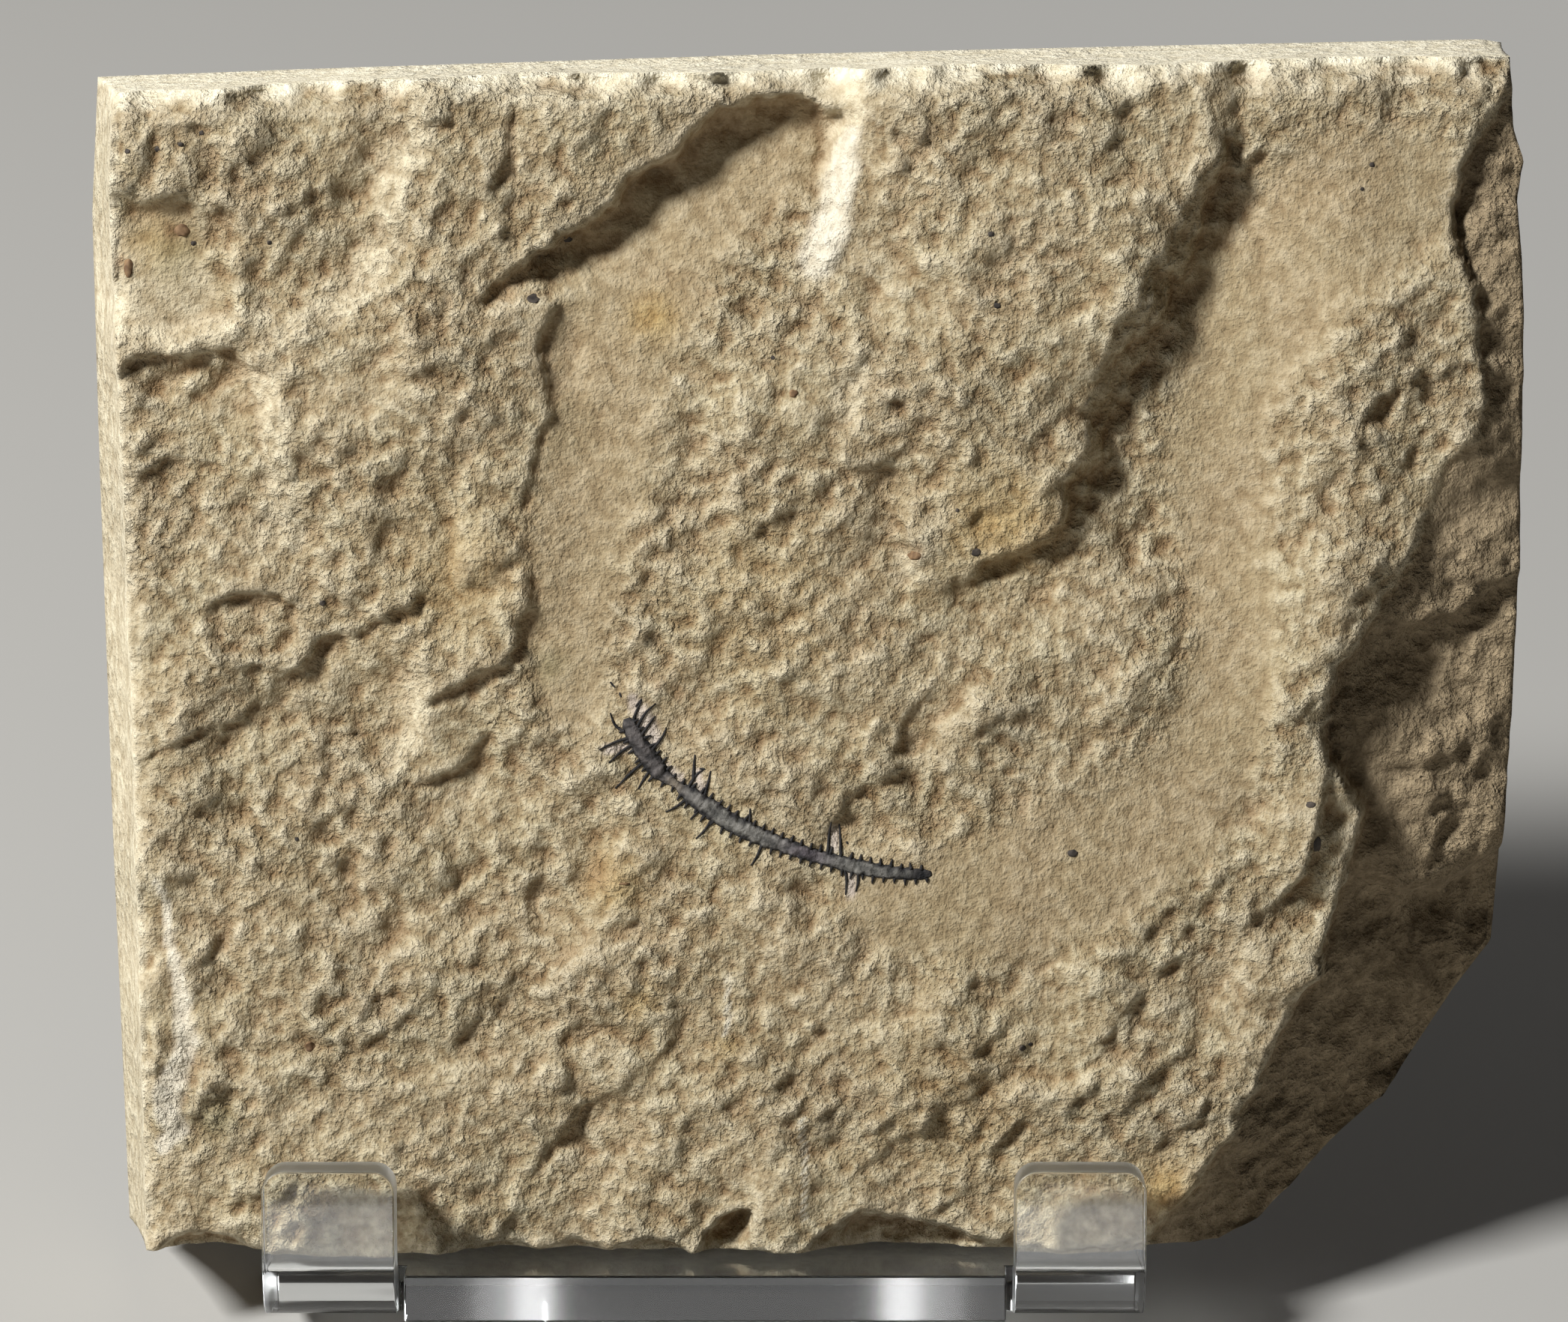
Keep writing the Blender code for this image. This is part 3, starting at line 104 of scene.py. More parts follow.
# The camera: above the slab's normal, looking at a point on its face.
VIEW_TILT_DEGREES = 9.0
VIEW_DISTANCE = 430.0
VIEW_TARGET = (-1.4, 38.0, 8.0)
VIEW_SCALE_PIXELS_PER_MM = 21.0
IMAGE_WIDTH_PIXELS = 2093.0
SENSOR_WIDTH = 36.0
CLIP_METRES = 0.01

# The soft lights on the middle of the face, as (name, direction, size, power): the key light from the
# upper left, raking over the face, and a weaker one from behind and above.
LIGHT_TARGET = (0.0, 38.0, 10.0)
LIGHT_DISTANCE = 900.0
LIGHTS = [("key", (-0.64, 0.56, 0.52), 170.0, 13.3), ("back", (0.25, 0.28, -0.93), 320.0, 3.6)]
# Cards reflected in the clear stand, as (name, u, distance, width, height, power).
CARD_DROP = 206.0
CARDS = [("soft_card", -8.0, 700.0, 200.0, 66.0, 0.10), ("left_strip", -43.6, 680.0, 6.0, 90.0, 0.030),
         ("left_glow", -47.0, 690.0, 14.0, 90.0, 0.022), ("right_strip", 18.3, 680.0, 6.0, 90.0, 0.030),
         ("right_glow", 22.0, 690.0, 14.0, 90.0, 0.022)]
WORLD_COLOUR = (1.0, 0.87, 0.74, 1.0)
WORLD_STRENGTH = 0.014
FLOOR_METRES = 3.0
FLOOR_SURFACE = {"Base Color": (0.43, 0.42, 0.395, 1.0), "Roughness": 0.7}

# Front rim of the slab, as (u, v) from corner to corner.
RIM_LEFT = [(-42.2, 0.3), (-42.4, 20), (-42.6, 35), (-43, 49), (-43.6, 66.5), (-43.2, 74.2)]
RIM_TOP = [
    (-43.2, 74.2), (-31, 74.8), (-17, 75.4), (-4, 75.5), (10, 76), (22, 76), (33, 76.4), (43.9, 76.5)]
RIM_RIGHT = [
    (26.6, 0.3), (29.2, 1.5), (32.4, 4.6), (34.6, 6.9), (37.4, 8.9), (39.5, 12), (41.8, 15.6),
    (44.2, 18.8), (44.6, 24), (45, 34), (45.2, 44), (45.1, 58), (44.8, 64), (44.5, 67.5), (44.9, 70),
    (44.2, 72), (43.9, 76.5)]
RIM_BOTTOM = [(-42.2, 0.3), (-20, 0.2), (4, 0.2), (26.6, 0.3)]
RIM_SIDES = (RIM_LEFT, RIM_RIGHT, RIM_BOTTOM, RIM_TOP)

# Back outline of the slab: sawn at the left, top and bottom, broken away at the lower right.
BACK_LEFT = [(-44.3, 0), (-45, 25), (-45.5, 50), (-45.7, 66), (-45.2, 74.6)]
BACK_TOP = [(-45.2, 74.6), (-32, 75.1), (-4, 76), (22.5, 76.6), (43, 77), (44.3, 76.8)]
BACK_RIGHT = [
    (27, 0), (29.6, 1.2), (32.8, 4.3), (35, 6.6), (37.8, 8.6), (39.9, 11.7), (42.2, 15.3), (44.6, 18.5),
    (45, 24), (45.4, 34), (45.6, 44), (45.4, 58), (45.1, 64), (44.8, 67.5), (45.2, 70), (44.5, 72),
    (44.3, 76.8)]
BACK_SIDES = (BACK_LEFT, BACK_RIGHT, [(-44.3, 0), (27, 0)], BACK_TOP)

# Each ledge: the width of its sharp edge, the share of the drop that is there, the width of the whole
# fall, how far its hollow reaches, and its line as (u, v, drop). The ground is lower by the drop on the
# right of the line's direction.
LEDGES = {
    # The long ledge left of the valley, from its foot up to the top of the bowl, with a notch halfway.
    "main_ledge": (0.7, 0.72, 2.4, 10, [
        (-25.2, 35.2, 0), (-23.8, 36.3, 0.8), (-20.9, 37.8, 1.1), (-19.7, 38.3, 1.3),
        (-18.4, 39.8, 1.1), (-17.8, 42, 0.7), (-18.2, 45, 0.5), (-18.2, 48.5, 0.5), (-17.2, 52.3, 0.6),
        (-16.3, 54.3, 0.8), (-16.9, 57, 1.2), (-16.9, 58.6, 1.3), (-16.4, 61, 1), (-18, 61, 0.9),
        (-20.1, 60.2, 0.5), (-20.7, 61.3, 0.8), (-20, 62.4, 1.3), (-18.2, 63.2, 1.8),
        (-17.3, 64.3, 2.1), (-15.9, 64.7, 2.4), (-15.6, 65.6, 2.5), (-12.1, 67.4, 2.8),
        (-11.6, 69.2, 3), (-10.2, 69.7, 3), (-8.2, 70.9, 3), (-7.2, 72.1, 3), (-5.6, 73.7, 3.1),
        (-3.5, 74.1, 3.1), (-0.8, 74.4, 2.9), (0.8, 73.9, 2.5), (1.9, 73.3, 1.8), (2.9, 72.9, 0)]),
    # The cliff right of the central platform, its lower bench and the lip above the right channel.
    "centre_cliff": (3.2, 0.9, 4, 11, [
        (15.4, 46.4, 0), (16.1, 48.3, 1.2), (16, 50, 2.2), (17, 52, 2.7), (16.2, 54.4, 2.9),
        (18, 56.2, 3.1), (18.5, 58.3, 3.1), (19.4, 60, 2.8), (20.6, 60.9, 2.3), (20.6, 63.4, 2),
        (21.6, 65, 1.8), (22, 66.7, 1.7), (23.6, 68.4, 1.7), (23.9, 70, 1.7), (24.8, 70.6, 1.5),
        (24.4, 72.6, 1.2), (25, 74, 1), (24.3, 76, 0.8), (23.8, 78, 0.5)]),
    "cliff_end": (0.9, 0.8, 2.2, 9, [
        (7.6, 43.2, 0), (9.8, 44.1, 0.8), (11.3, 45, 1.4), (14, 46.1, 1.9), (15.2, 46.6, 1.9),
        (16.1, 48.3, 1.3), (16, 50, 0.6), (16.6, 51.4, 0)]),
    "cliff_bench": (1, 0.65, 2.6, 8, [
        (20.4, 56.6, 0), (21.5, 58.9, 0.6), (22.2, 61.6, 1), (23.5, 63.8, 1.4), (24.5, 66.2, 1.8),
        (25.2, 68.8, 2.2), (25.7, 70.6, 2.2), (26, 72.1, 1.7), (27, 71.8, 1.7), (27.9, 70.9, 1.2),
        (28.8, 71.3, 0.8), (31, 70.3, 0.5), (34.5, 69, 0)]),
    # The white slope right of the bowl and the notch at its foot.
    "white_facet": (2, 1, 2, 8, [
        (4.4, 76.4, 0.4), (3.6, 74.2, 1.1), (3.3, 72.2, 1.9), (3.2, 70.4, 2.1), (2.8, 68.2, 2.2),
        (2.6, 66.4, 2.2), (2.1, 64.6, 2), (1.8, 63.4, 1.4), (1.4, 62.4, 0)]),
    "facet_foot": (0.4, 0.5, 2.4, 4, [
        (-0.9, 63.4, 0), (-0.3, 63.7, 0.9), (1.1, 63.7, 1), (2.2, 63.6, 0.8), (4, 63.1, 0.7),
        (5.8, 62.2, 0)]),
    # The raised terrace left of the bowl.
    "terrace_side": (3, 0.8, 4.5, 10, [
        (-21.3, 77, 0.5), (-22.4, 73.4, 1.6), (-23.6, 70.3, 2.1), (-24.9, 68.5, 2.1), (-25, 66.8, 1.9),
        (-24.6, 65.2, 1.8), (-26, 63.2, 1.9), (-27.4, 61.1, 1.9), (-29.4, 59.7, 1.5),
        (-31.2, 58.7, 1.1), (-33.4, 57.4, 0.3)]),
    "terrace_crease": (0.6, 0.6, 1.8, 3, [
        (-20.4, 67.9, 0), (-19.2, 69.6, 0.8), (-18.8, 71.2, 0.9), (-18.5, 73, 0.9), (-18.4, 74, 0)]),
    "terrace_edge": (0.4, 0.6, 1.6, 3, [
        (-17.7, 73.8, 0.4), (-17.6, 71, 0.7), (-17.7, 69, 0.6), (-18.2, 66, 0)]),
    "terrace_slit": (0.4, 0.45, 1.8, 3.5, [
        (-24.8, 67.8, 0), (-23.6, 68.3, 0.3), (-21.4, 68.4, 0.3), (-19.4, 68.7, 0)]),
    # The margin below the sawn top, where the face falls away to the edge.
    "top_margin": (1.3, 0.7, 2.6, 12, [
        (6, 77.2, 0.4), (-3.5, 76.3, 0.4), (-8.5, 75.9, 0.6), (-10.2, 75.2, 1), (-11.6, 74.1, 1.3),
        (-14, 73.1, 1.3), (-16, 73.3, 1.1), (-18.2, 73.5, 1), (-20.5, 73.9, 0.9), (-22.3, 74.3, 0.9),
        (-25.5, 74.8, 0.8), (-31, 74.9, 0.8), (-37, 74.2, 0.9), (-42, 73.2, 0.9), (-46, 72.2, 0.7)]),
    # The square patch at the left and the steps below it.
    "patch_step": (0.6, 0.5, 4.6, 9, [
        (-46.5, 54.5, 0.6), (-43.9, 56.2, 1.4), (-42.9, 57.3, 1.9), (-42, 58, 2.1), (-40.4, 58, 2.1),
        (-38.2, 58.2, 2.3), (-36.5, 58.2, 2.2), (-34.8, 57.8, 1.9), (-33.7, 57.2, 1), (-32.6, 56.8, 0)]),
    "patch_side": (2.2, 0.7, 3.6, 8, [
        (-33.2, 57.8, 0.2), (-32.9, 55.4, 1.2), (-32.4, 52.4, 1.5), (-32, 49.4, 1.4),
        (-32.6, 46.6, 0.9), (-33.4, 44.4, 0)]),
    "patch_top": (0.8, 0.5, 2.2, 4, [
        (-46, 67.6, 0.5), (-42.4, 67.4, 0.6), (-39.6, 67.4, 0.6), (-36.6, 67.2, 0.5), (-34.8, 66.4, 0)]),
    "upper_slit": (0.4, 0.42, 3, 6, [
        (-46, 48.6, 0.1), (-42.6, 50.4, 0.5), (-41, 51.2, 0.6), (-39.4, 51.6, 0.7), (-38.4, 51.5, 0.5),
        (-37, 51.1, 0.5), (-35.6, 51, 0.5), (-34.6, 51.9, 0.2), (-34, 52.1, 0)]),
    "slant_crack": (0.4, 0.42, 2.6, 6, [
        (-43.6, 43.4, 0.1), (-42.3, 44.6, 0.6), (-41.2, 45.6, 0.7), (-40.2, 46.3, 0.5),
        (-39, 46.6, 0.5), (-37.4, 47.7, 0.4), (-35.6, 48.3, 0.2), (-34.8, 48.5, 0)]),
    "mid_slit": (0.4, 0.36, 2.6, 5, [
        (-31.8, 53.7, 0), (-30.6, 53.1, 0.4), (-29.2, 53, 0.4), (-27.8, 53.4, 0.5), (-26.4, 54.4, 0.4),
        (-24.8, 54.9, 0)]),
    "low_slit": (0.4, 0.36, 2.2, 5, [
        (-31.2, 51.2, 0), (-29.6, 50.5, 0.3), (-27.4, 51.2, 0.2), (-24.6, 52.6, 0)]),
    # The oval dish, the crease under it and the shelf at the left edge.
    "oval_crease": (0.6, 0.45, 4, 9, [
        (-37.4, 38.7, 0), (-35, 38.5, 0.7), (-33.2, 38.1, 1.1), (-32, 38, 1.3), (-31.3, 39, 1.4),
        (-30.6, 40.1, 1.4), (-28.3, 40.3, 1.3), (-27.5, 41.2, 1.4), (-26, 42, 1.3), (-24.4, 42.7, 1),
        (-22.4, 43.8, 0.5), (-20.4, 44.2, 0)]),
    "left_shelf": (0.5, 0.45, 4, 9, [
        (-46.5, 30.2, 0.4), (-42.4, 32, 1.1), (-41.5, 33, 1.3), (-39.6, 33.6, 1.2), (-38.2, 34.4, 1),
        (-36.4, 34.8, 1), (-35.3, 35.8, 0.9), (-35.5, 37.4, 0.6), (-35.3, 38.3, 0)]),
    "shelf_slit": (0.4, 0.4, 2, 4, [
        (-30.8, 33.3, 0), (-29.4, 33.8, 0.4), (-27.6, 33.9, 0.4), (-25.6, 34.2, 0)]),
    "shelf_nick": (0.4, 0.4, 1.8, 4, [
        (-30, 34.2, 0), (-29, 34.9, 0.4), (-27.4, 35.7, 0)]),
    # The tongue that hangs below the main ledge.
    "tongue_side": (1.6, 0.7, 3, 7, [
        (-23.9, 38.4, 0.1), (-23.6, 36.3, 0.9), (-23.7, 34.2, 1.2), (-24.1, 33, 1.2),
        (-25.1, 31.7, 0.9), (-26.4, 30.1, 0)]),
    "tongue_foot": (0.6, 0.45, 4.2, 8, [
        (-26.4, 30.2, 0), (-25.2, 30.9, 1.3), (-24, 31, 1.6), (-22.4, 31.6, 1.6), (-21.3, 32.4, 1.4),
        (-20.2, 33.8, 1), (-19.4, 34.5, 0.4), (-18.4, 35.1, 0)]),
    "tongue_slit": (0.5, 0.45, 3, 5, [
        (-22.4, 26.1, 0), (-20.5, 26.4, 0.4), (-17.4, 26.7, 0.5), (-15.4, 26.6, 0.4), (-13.6, 28.6, 0)]),
    # Creases of the middle.
    "mid_hollow": (0.7, 0.45, 3.4, 5, [
        (-9.6, 52.5, 0), (-7, 52.8, 0.6), (-4, 52.6, 0.8), (-2, 52.7, 0.6), (-1, 53.6, 0)]),
    "mid_band": (0.7, 0.45, 3.4, 5, [
        (-1.2, 49.4, 0), (0.8, 50.2, 0.6), (2.6, 51, 0.8), (5.2, 51.1, 0.8), (7.5, 51.3, 0.6),
        (10.4, 52, 0)]),
    "centre_crease": (0.6, 0.45, 2.6, 4, [
        (4.6, 32.4, 0), (5.4, 33.3, 0.6), (6, 34.7, 0.7), (7.2, 36.3, 0.5), (8.3, 38.1, 0.5),
        (9.2, 39.4, 0.4), (10.6, 39.8, 0)]),
    "lower_diagonal": (0.7, 0.45, 2.8, 4, [
        (-4.2, 12.4, 0), (-1.5, 15, 0.5), (0.8, 16.4, 0.6), (2.1, 18.2, 0.8), (2.8, 20.2, 0.7),
        (4, 22.1, 0)]),
    "lower_groove": (0.8, 0.5, 2.6, 3.5, [
        (-18.8, 4.6, 0), (-17.3, 6.6, 0.9), (-16.2, 8.2, 1.1), (-14.6, 9.6, 0.8), (-12.8, 10.5, 0)]),
    "foot_groove": (0.6, 0.45, 2.6, 3.5, [
        (1.6, 4.8, 0), (3.8, 6, 0.6), (5.3, 7.2, 0.7), (6.1, 8.4, 0.6), (7.4, 9.9, 0)]),
    "right_groove": (0.6, 0.45, 2.6, 3.5, [
        (17.5, 12, 0), (18.6, 13.6, 0.6), (19.4, 15.2, 0.7), (20.4, 16.9, 0.6), (21.6, 17.9, 0)]),
    "right_slit": (0.5, 0.4, 2.6, 4, [
        (10.4, 18, 0), (12, 18.6, 0.3), (15.2, 19.7, 0.4), (17.2, 21.1, 0)]),
    # The ledge between the right channel and the lower right, turning up along the broken edge.
    "right_ledge": (0.7, 0.55, 2.8, 7, [
        (18.6, 19.4, 0), (20.6, 20.4, 0.4), (22.4, 21.7, 0.6), (25.6, 21.8, 0.7), (28.4, 22.1, 0.9),
        (29.6, 23, 1.2), (31.1, 24.6, 1.5), (31.9, 26.2, 1.6), (32.4, 28.6, 1.4), (32.6, 30.8, 0.8),
        (32.8, 32.4, 0)]),
    # The bruise near the left edge and the nicks beside it.
    "bruise": (0.8, 0.55, 2.4, 5, [
        (-41.2, 25, 0), (-40.2, 21.5, 0.5), (-39.3, 18, 0.6), (-38.7, 16, 0.8), (-38.7, 14, 0.9),
        (-37.9, 12.3, 0.7), (-38.5, 10.6, 0.6), (-39.1, 9.4, 0.8), (-39.5, 8, 0.7), (-40.6, 7, 0)]),
    "bruise_step": (0.5, 0.5, 2.2, 3.5, [
        (-39.8, 9.3, 0), (-38.6, 9.4, 1), (-37.4, 9.2, 0.8), (-36.5, 8.4, 0)]),
    "nick_arc": (0.5, 0.45, 2.4, 3.5, [
        (-38.5, 19, 0), (-37.9, 20.7, 0.4), (-36.8, 21.7, 0.5), (-35, 21.9, 0.4), (-33, 21.8, 0)]),
    "nick_upper": (0.5, 0.45, 2.4, 3.5, [
        (-39.6, 17.5, 0), (-38.6, 17.8, 0.4), (-37, 18.1, 0.4), (-35.6, 18.9, 0)]),
    "nick_lower": (0.5, 0.45, 2.4, 3.5, [
        (-38.2, 10.6, 0), (-37, 11.2, 0.4), (-35.4, 11.2, 0.4), (-34, 10.6, 0)]),
    # Chips knocked out of the bottom edge.
    "chip_left": (0.7, 0.7, 1.8, 9, [
        (-43, 0.2, 0), (-41.8, 0.5, 1), (-40.3, 1.3, 2.4), (-38.3, 1.5, 2.8), (-36.9, 1.2, 2.4),
        (-35, 0.8, 1.6), (-31, 0.5, 0.8), (-28, 0.2, 0)]),
    "chip_middle": (0.8, 0.7, 2, 9, [
        (-23.4, 0.1, 0), (-22.2, 0.9, 1.6), (-19.4, 1.2, 2.2), (-17.2, 0.6, 1.4), (-15, 1.3, 2),
        (-12.5, 0.8, 1.6), (-9.1, 1.3, 2), (-7.2, 0.5, 1.2), (-6.2, 2, 2.4), (-4.4, 3.2, 2.8),
        (-3.5, 2.8, 2.4), (-3, 0.9, 1.2), (-1.2, 0.1, 0)]),
    "chip_right": (1, 0.7, 2.4, 9, [
        (-0.6, 0.2, 0), (1.4, 2, 2.4), (3.4, 2.9, 3.4), (5.2, 2.9, 3.4), (8, 2.2, 2.8), (12.5, 1.4, 2),
        (17, 1.1, 1.6), (21.5, 1.6, 1.8), (24, 1, 1)]),
}
# Terraces on the broken right flank, in the same way.
FLANK_LEDGES = {
    "upper_step": (1, 0.6, 2.6, 5, [
        (34, 39.4, 0), (36, 40.6, 1.6), (39, 41, 2.2), (41.9, 41.8, 2.4), (43.2, 43.2, 2),
        (46.5, 44.8, 1.4)]),
    "lower_step": (1.2, 0.65, 2.8, 8, [
        (35.6, 25.4, 0), (37, 24, 1.6), (38.2, 23.3, 2.4), (40.2, 23.3, 2.8), (42, 24, 2.8),
        (43.6, 25.5, 2.2), (46.5, 27, 1.5)]),
    "crack": (0.5, 0.6, 1.6, 2.5, [
        (35.8, 31.2, 0), (37.2, 31.5, 0.7), (39.2, 31.4, 0.7), (41.4, 32.3, 0.6), (44.6, 34.2, 0.4)]),
    "rift": (0.5, 0.6, 1.6, 2, [
        (39.4, 23.6, 0), (39.9, 25, 0.8), (40.3, 26.6, 0.8), (40.8, 28.6, 0)]),
    # The narrow crevice where the flank meets the face near the top.
    "crevice": (0.4, 1, 0.4, 0.9, [
        (42, 53, 0), (42.5, 54.8, 0.6), (42.4, 57.4, 0.7), (41.9, 59.8, 0.8), (41.9, 61.5, 0.9),
        (40.9, 63.3, 1.2), (40.5, 65.4, 1.5), (40.5, 68.4, 1.5), (41.4, 70.8, 1.1), (43.2, 73.6, 0)]),
}
# The drop varies along a ledge, near its line.
DROP_VARIATION = 0.55
DROP_WAVELENGTH = 1.9
DROP_LAYER = 13.0

# The front face ends on this line; the slab is spalled and broken away to its right.
FLANK_EDGE = [
    (20.6, -1.5), (21.8, 1.5), (22.6, 3), (24.3, 4.3), (25.6, 6.3), (27, 8.4),
    (28.1, 10.5), (29.4, 13.3), (30.2, 15.3), (31.2, 16.8), (32.3, 18.1),
    (32.7, 19.6), (33, 21), (33.5, 23), (34.1, 25), (34.7, 26.8), (35.1, 28.4),
    (34, 30.2), (32.9, 32), (32.3, 34), (32.9, 36.4), (33.2, 38.2), (34.2, 39.5),
    (35.2, 40.9), (35.9, 42.3), (37, 43.7), (38, 46), (38.6, 48.6), (40, 51.6),
    (41.6, 53), (42.1, 54.8), (42, 57.4), (41.5, 59.8), (41.5, 61.5), (40.5, 63.3),
    (40.1, 65.4), (40.1, 68.4), (41, 70.8), (42.6, 72.8), (43.2, 75), (43.5, 78)]
FLANK_EDGE_WIDTH = 0.9
FLANK_LOWEST = 1.4
# The flank's profile, as (v, drop beside the edge line, level at the outline).
FLANK_PROFILE = [
    (0, 0.3, 7.6), (8, 0.5, 5), (16, 1, 3.2), (21, 1.6, 3), (23, 1.8, 4.4), (26, 2, 6.4),
    (30, 2.2, 7.2), (36, 2.2, 7.4), (38, 1.8, 7.8), (41, 0.9, 8.8), (46, 0.4, 8.8), (50, 0.3, 9),
    (54, 0.25, 9.6), (60, 0.3, 10), (64, 0.6, 9.8), (70, 0.6, 9.8), (74, 0.5, 9.9), (77, 0.4, 10.2)]

# Rounded swells and hollows, as (u, v, reach along u, reach along v, rise).
SWELLS = [
    (-33, 68, 9, 6, 0.4), (-27, 50, 7, 9, 0.5), (12, 64, 9, 10, 0.9), (4, 56, 9, 7, 0.3),
    (34, 58, 5, 9, 0.7), (33, 42, 3.5, 7, 1), (-14, 50, 3, 12, -0.3), (25, 45, 3.5, 12, -0.7),
    (20, 30, 9, 5, -0.4), (-33, 12, 10, 9, 0.3), (6, 8, 14, 6, 0.3), (2.2, 47.4, 3, 2, 0.5),
    (7.4, 46.4, 2.2, 2.4, 0.4), (-13.8, 27.2, 1.8, 2.2, -0.5), (-31.4, 13.7, 1, 0.7, -0.7),
    (-30.2, 27.3, 1, 0.8, -0.6), (-28.9, 24.6, 0.7, 2, -0.6), (-27.2, 16.6, 1.4, 0.9, -0.5),
    (7.9, 39.5, 0.9, 0.6, -0.5), (-12.6, 14.6, 1.6, 0.6, -0.5), (-19.5, 49, 0.9, 0.7, -0.5),
    (-34.6, 28.3, 4, 1.2, -0.5), (-4.8, 54.8, 3, 1.4, 0.3), (19.6, 36.2, 2, 1.4, 0.4)]
# Two flat-floored dishes on the left: (u, v, half width, half height, depth, roundness power).
PANS = [(-39.8, 63.4, 4.0, 4.1, 0.8, 6.0), (-34.8, 40.6, 3.0, 2.0, 0.8, 2.4)]
PAN_RIM = 0.34

# The face is rounded down to the sawn top and left edges: (edge line, reach, fall).
ROUNDED_RIMS = [(RIM_TOP, 2, 1.2), (RIM_LEFT, 1, 0.5)]
RIM_RAGGEDNESS = 1.6
RIM_WAVELENGTH = 2.6
RIM_LAYER = 53.0

# The sawn sides are chalky, and so is a margin of the face inside them; the top is painted paler than
# the left as painted light from above: (edge line, margin, strength).
SAWN_EDGES = [(RIM_TOP, 1.5, 1), (RIM_LEFT, 0.6, 0.4)]
SAWN_NOISE = (2.1, 31.0)
SAWN_MARGIN_SHARE = 0.9
SAWN_VARIATION = 1.6
SAWN_LEAST_MARGIN = 0.25
SAWN_SMOOTHNESS = 0.55

# Fine-grained smooth ground, as strokes of (u, v, half width): the valley below the main ledge, the
# right channel with its mouth, and the upper pan.
SMOOTH_GROUND = [
    [(-0.5, 72, 3.6), (-6, 69, 4), (-10, 64, 4.6), (-12.8, 58, 4.2), (-13.5, 52, 3.6), (-14.6, 46, 3),
     (-15.4, 40, 2.4), (-15, 36, 1.8)],
    [(37, 68, 4), (32.5, 66.5, 5), (28.8, 61.5, 4.4), (26.2, 55.5, 3.2), (25.6, 50, 3), (26.9, 44, 2.6),
     (26.9, 37.5, 2.6), (25.5, 32, 3.2), (21, 27, 4.2), (13, 23.5, 4.2), (5, 22.5, 2.5)],
    [(-40.6, 65, 2.4), (-39.8, 62, 2.8)],
]
SMOOTH_SHARE = 0.18
# Where a stroke starts to fade and over what way, as shares of its half width.
SMOOTH_EDGE = (0.65, 0.8)
STROKE_EDGE = (0.6, 0.8)

# Lumps of the split surface, as (wavelength, height, noise layer), streaked towards the upper right.
LUMPS = [(7.5, 0.62, 0.5), (3.4, 0.42, 4.2)]
STREAK_DEGREES = 48.0
STREAK_STRETCH = 1.18
# Tilted flat chips, as (size, slope, softness of their joins, noise layer).
CHIPS = [(5.6, 0.20, 0.050, 11.3), (2.3, 0.20, 0.060, 23.7)]
CHIP_OFFSET = 0.30
CHIP_TILT_SCALE = 7.31
CHIP_TILT_LAYERS = (0.0, 31.7, 67.3)
# Finer lumps, and rounded crumbs with creases between them, as (size, height, noise layer).
FINE_LUMPS = [(1.7, 0.22, 7.9), (0.85, 0.24, 11.6)]
CRUMBS = (0.80, 0.20, 5.1)
# How far from its centre a crumb is level with the ground, as a share of its size.
CRUMB_MIDDLE = 0.5
# How much the fine relief varies from one patch of the face to the next.
PATCH_VARIATION = 1.1
PATCH_SIZE = 6.5
PATCH_LAYER = 71.0
PATCH_RANGE = (0.35, 1.6)
# Random shifts that make chips crooked and ledges ragged, as (wavelength, shift, noise layer).
CRUMPLE = [(1.6, 0.40, 61.0), (0.7, 0.16, 61.0)]
WANDER = [(2.4, 0.42, 41.0), (0.9, 0.20, 41.0)]
SHIFT_LAYER_STEP = 16.0
# The values of a line's segments blend over this way where they meet.
LINE_BLEND = 0.7
SQUARE_BIAS = 0.001
# Keeps the flank's share defined where its edge line meets the outline.
OUTLINE_MARGIN = 0.01

# Dents of the slab's sides, as (wavelength, depth), and the share of their way down where the back
# edge begins.
SIDE_DENTS = [(5.0, 0.20), (1.6, 0.12), (0.8, 0.06)]
SIDE_BEND = 0.86
# The back's own grid starts this share inside the back edge.
BACK_INSET = 0.012
# The slab stays this far below the top of the box of the solids.
TOP_CLEARANCE = 0.03
# Mesh resolution of the slab.
FACE_COLUMNS = 300
FACE_ROWS = 236
SIDE_RINGS = 12
BACK_COLUMNS = 90
BACK_ROWS = 76

# Chalky bruises and scrapes, as strokes of (u, v, half width); the first lies on the white facet that
# faces the light and is partly painted highlight.
CHALK_STROKES = [
    [(2.9, 71.8, 0.4), (2.5, 70, 0.8), (1.9, 67.4, 1), (1.1, 64.8, 1.2), (0.8, 63.7, 1.1)],
    [(-41.2, 24.5, 0.2), (-40.3, 20.7, 0.35), (-39.7, 17.1, 0.5), (-39.3, 14, 0.7), (-40, 12.5, 0.8),
     (-40.8, 9.4, 0.8), (-39.9, 8.1, 0.6), (-41.1, 7.1, 0.4)], [(-0.2, 9, 0.14), (-0.05, 2.6, 0.14)],
    [(-4.9, 18, 0.16), (-5.1, 14.4, 0.16)]]
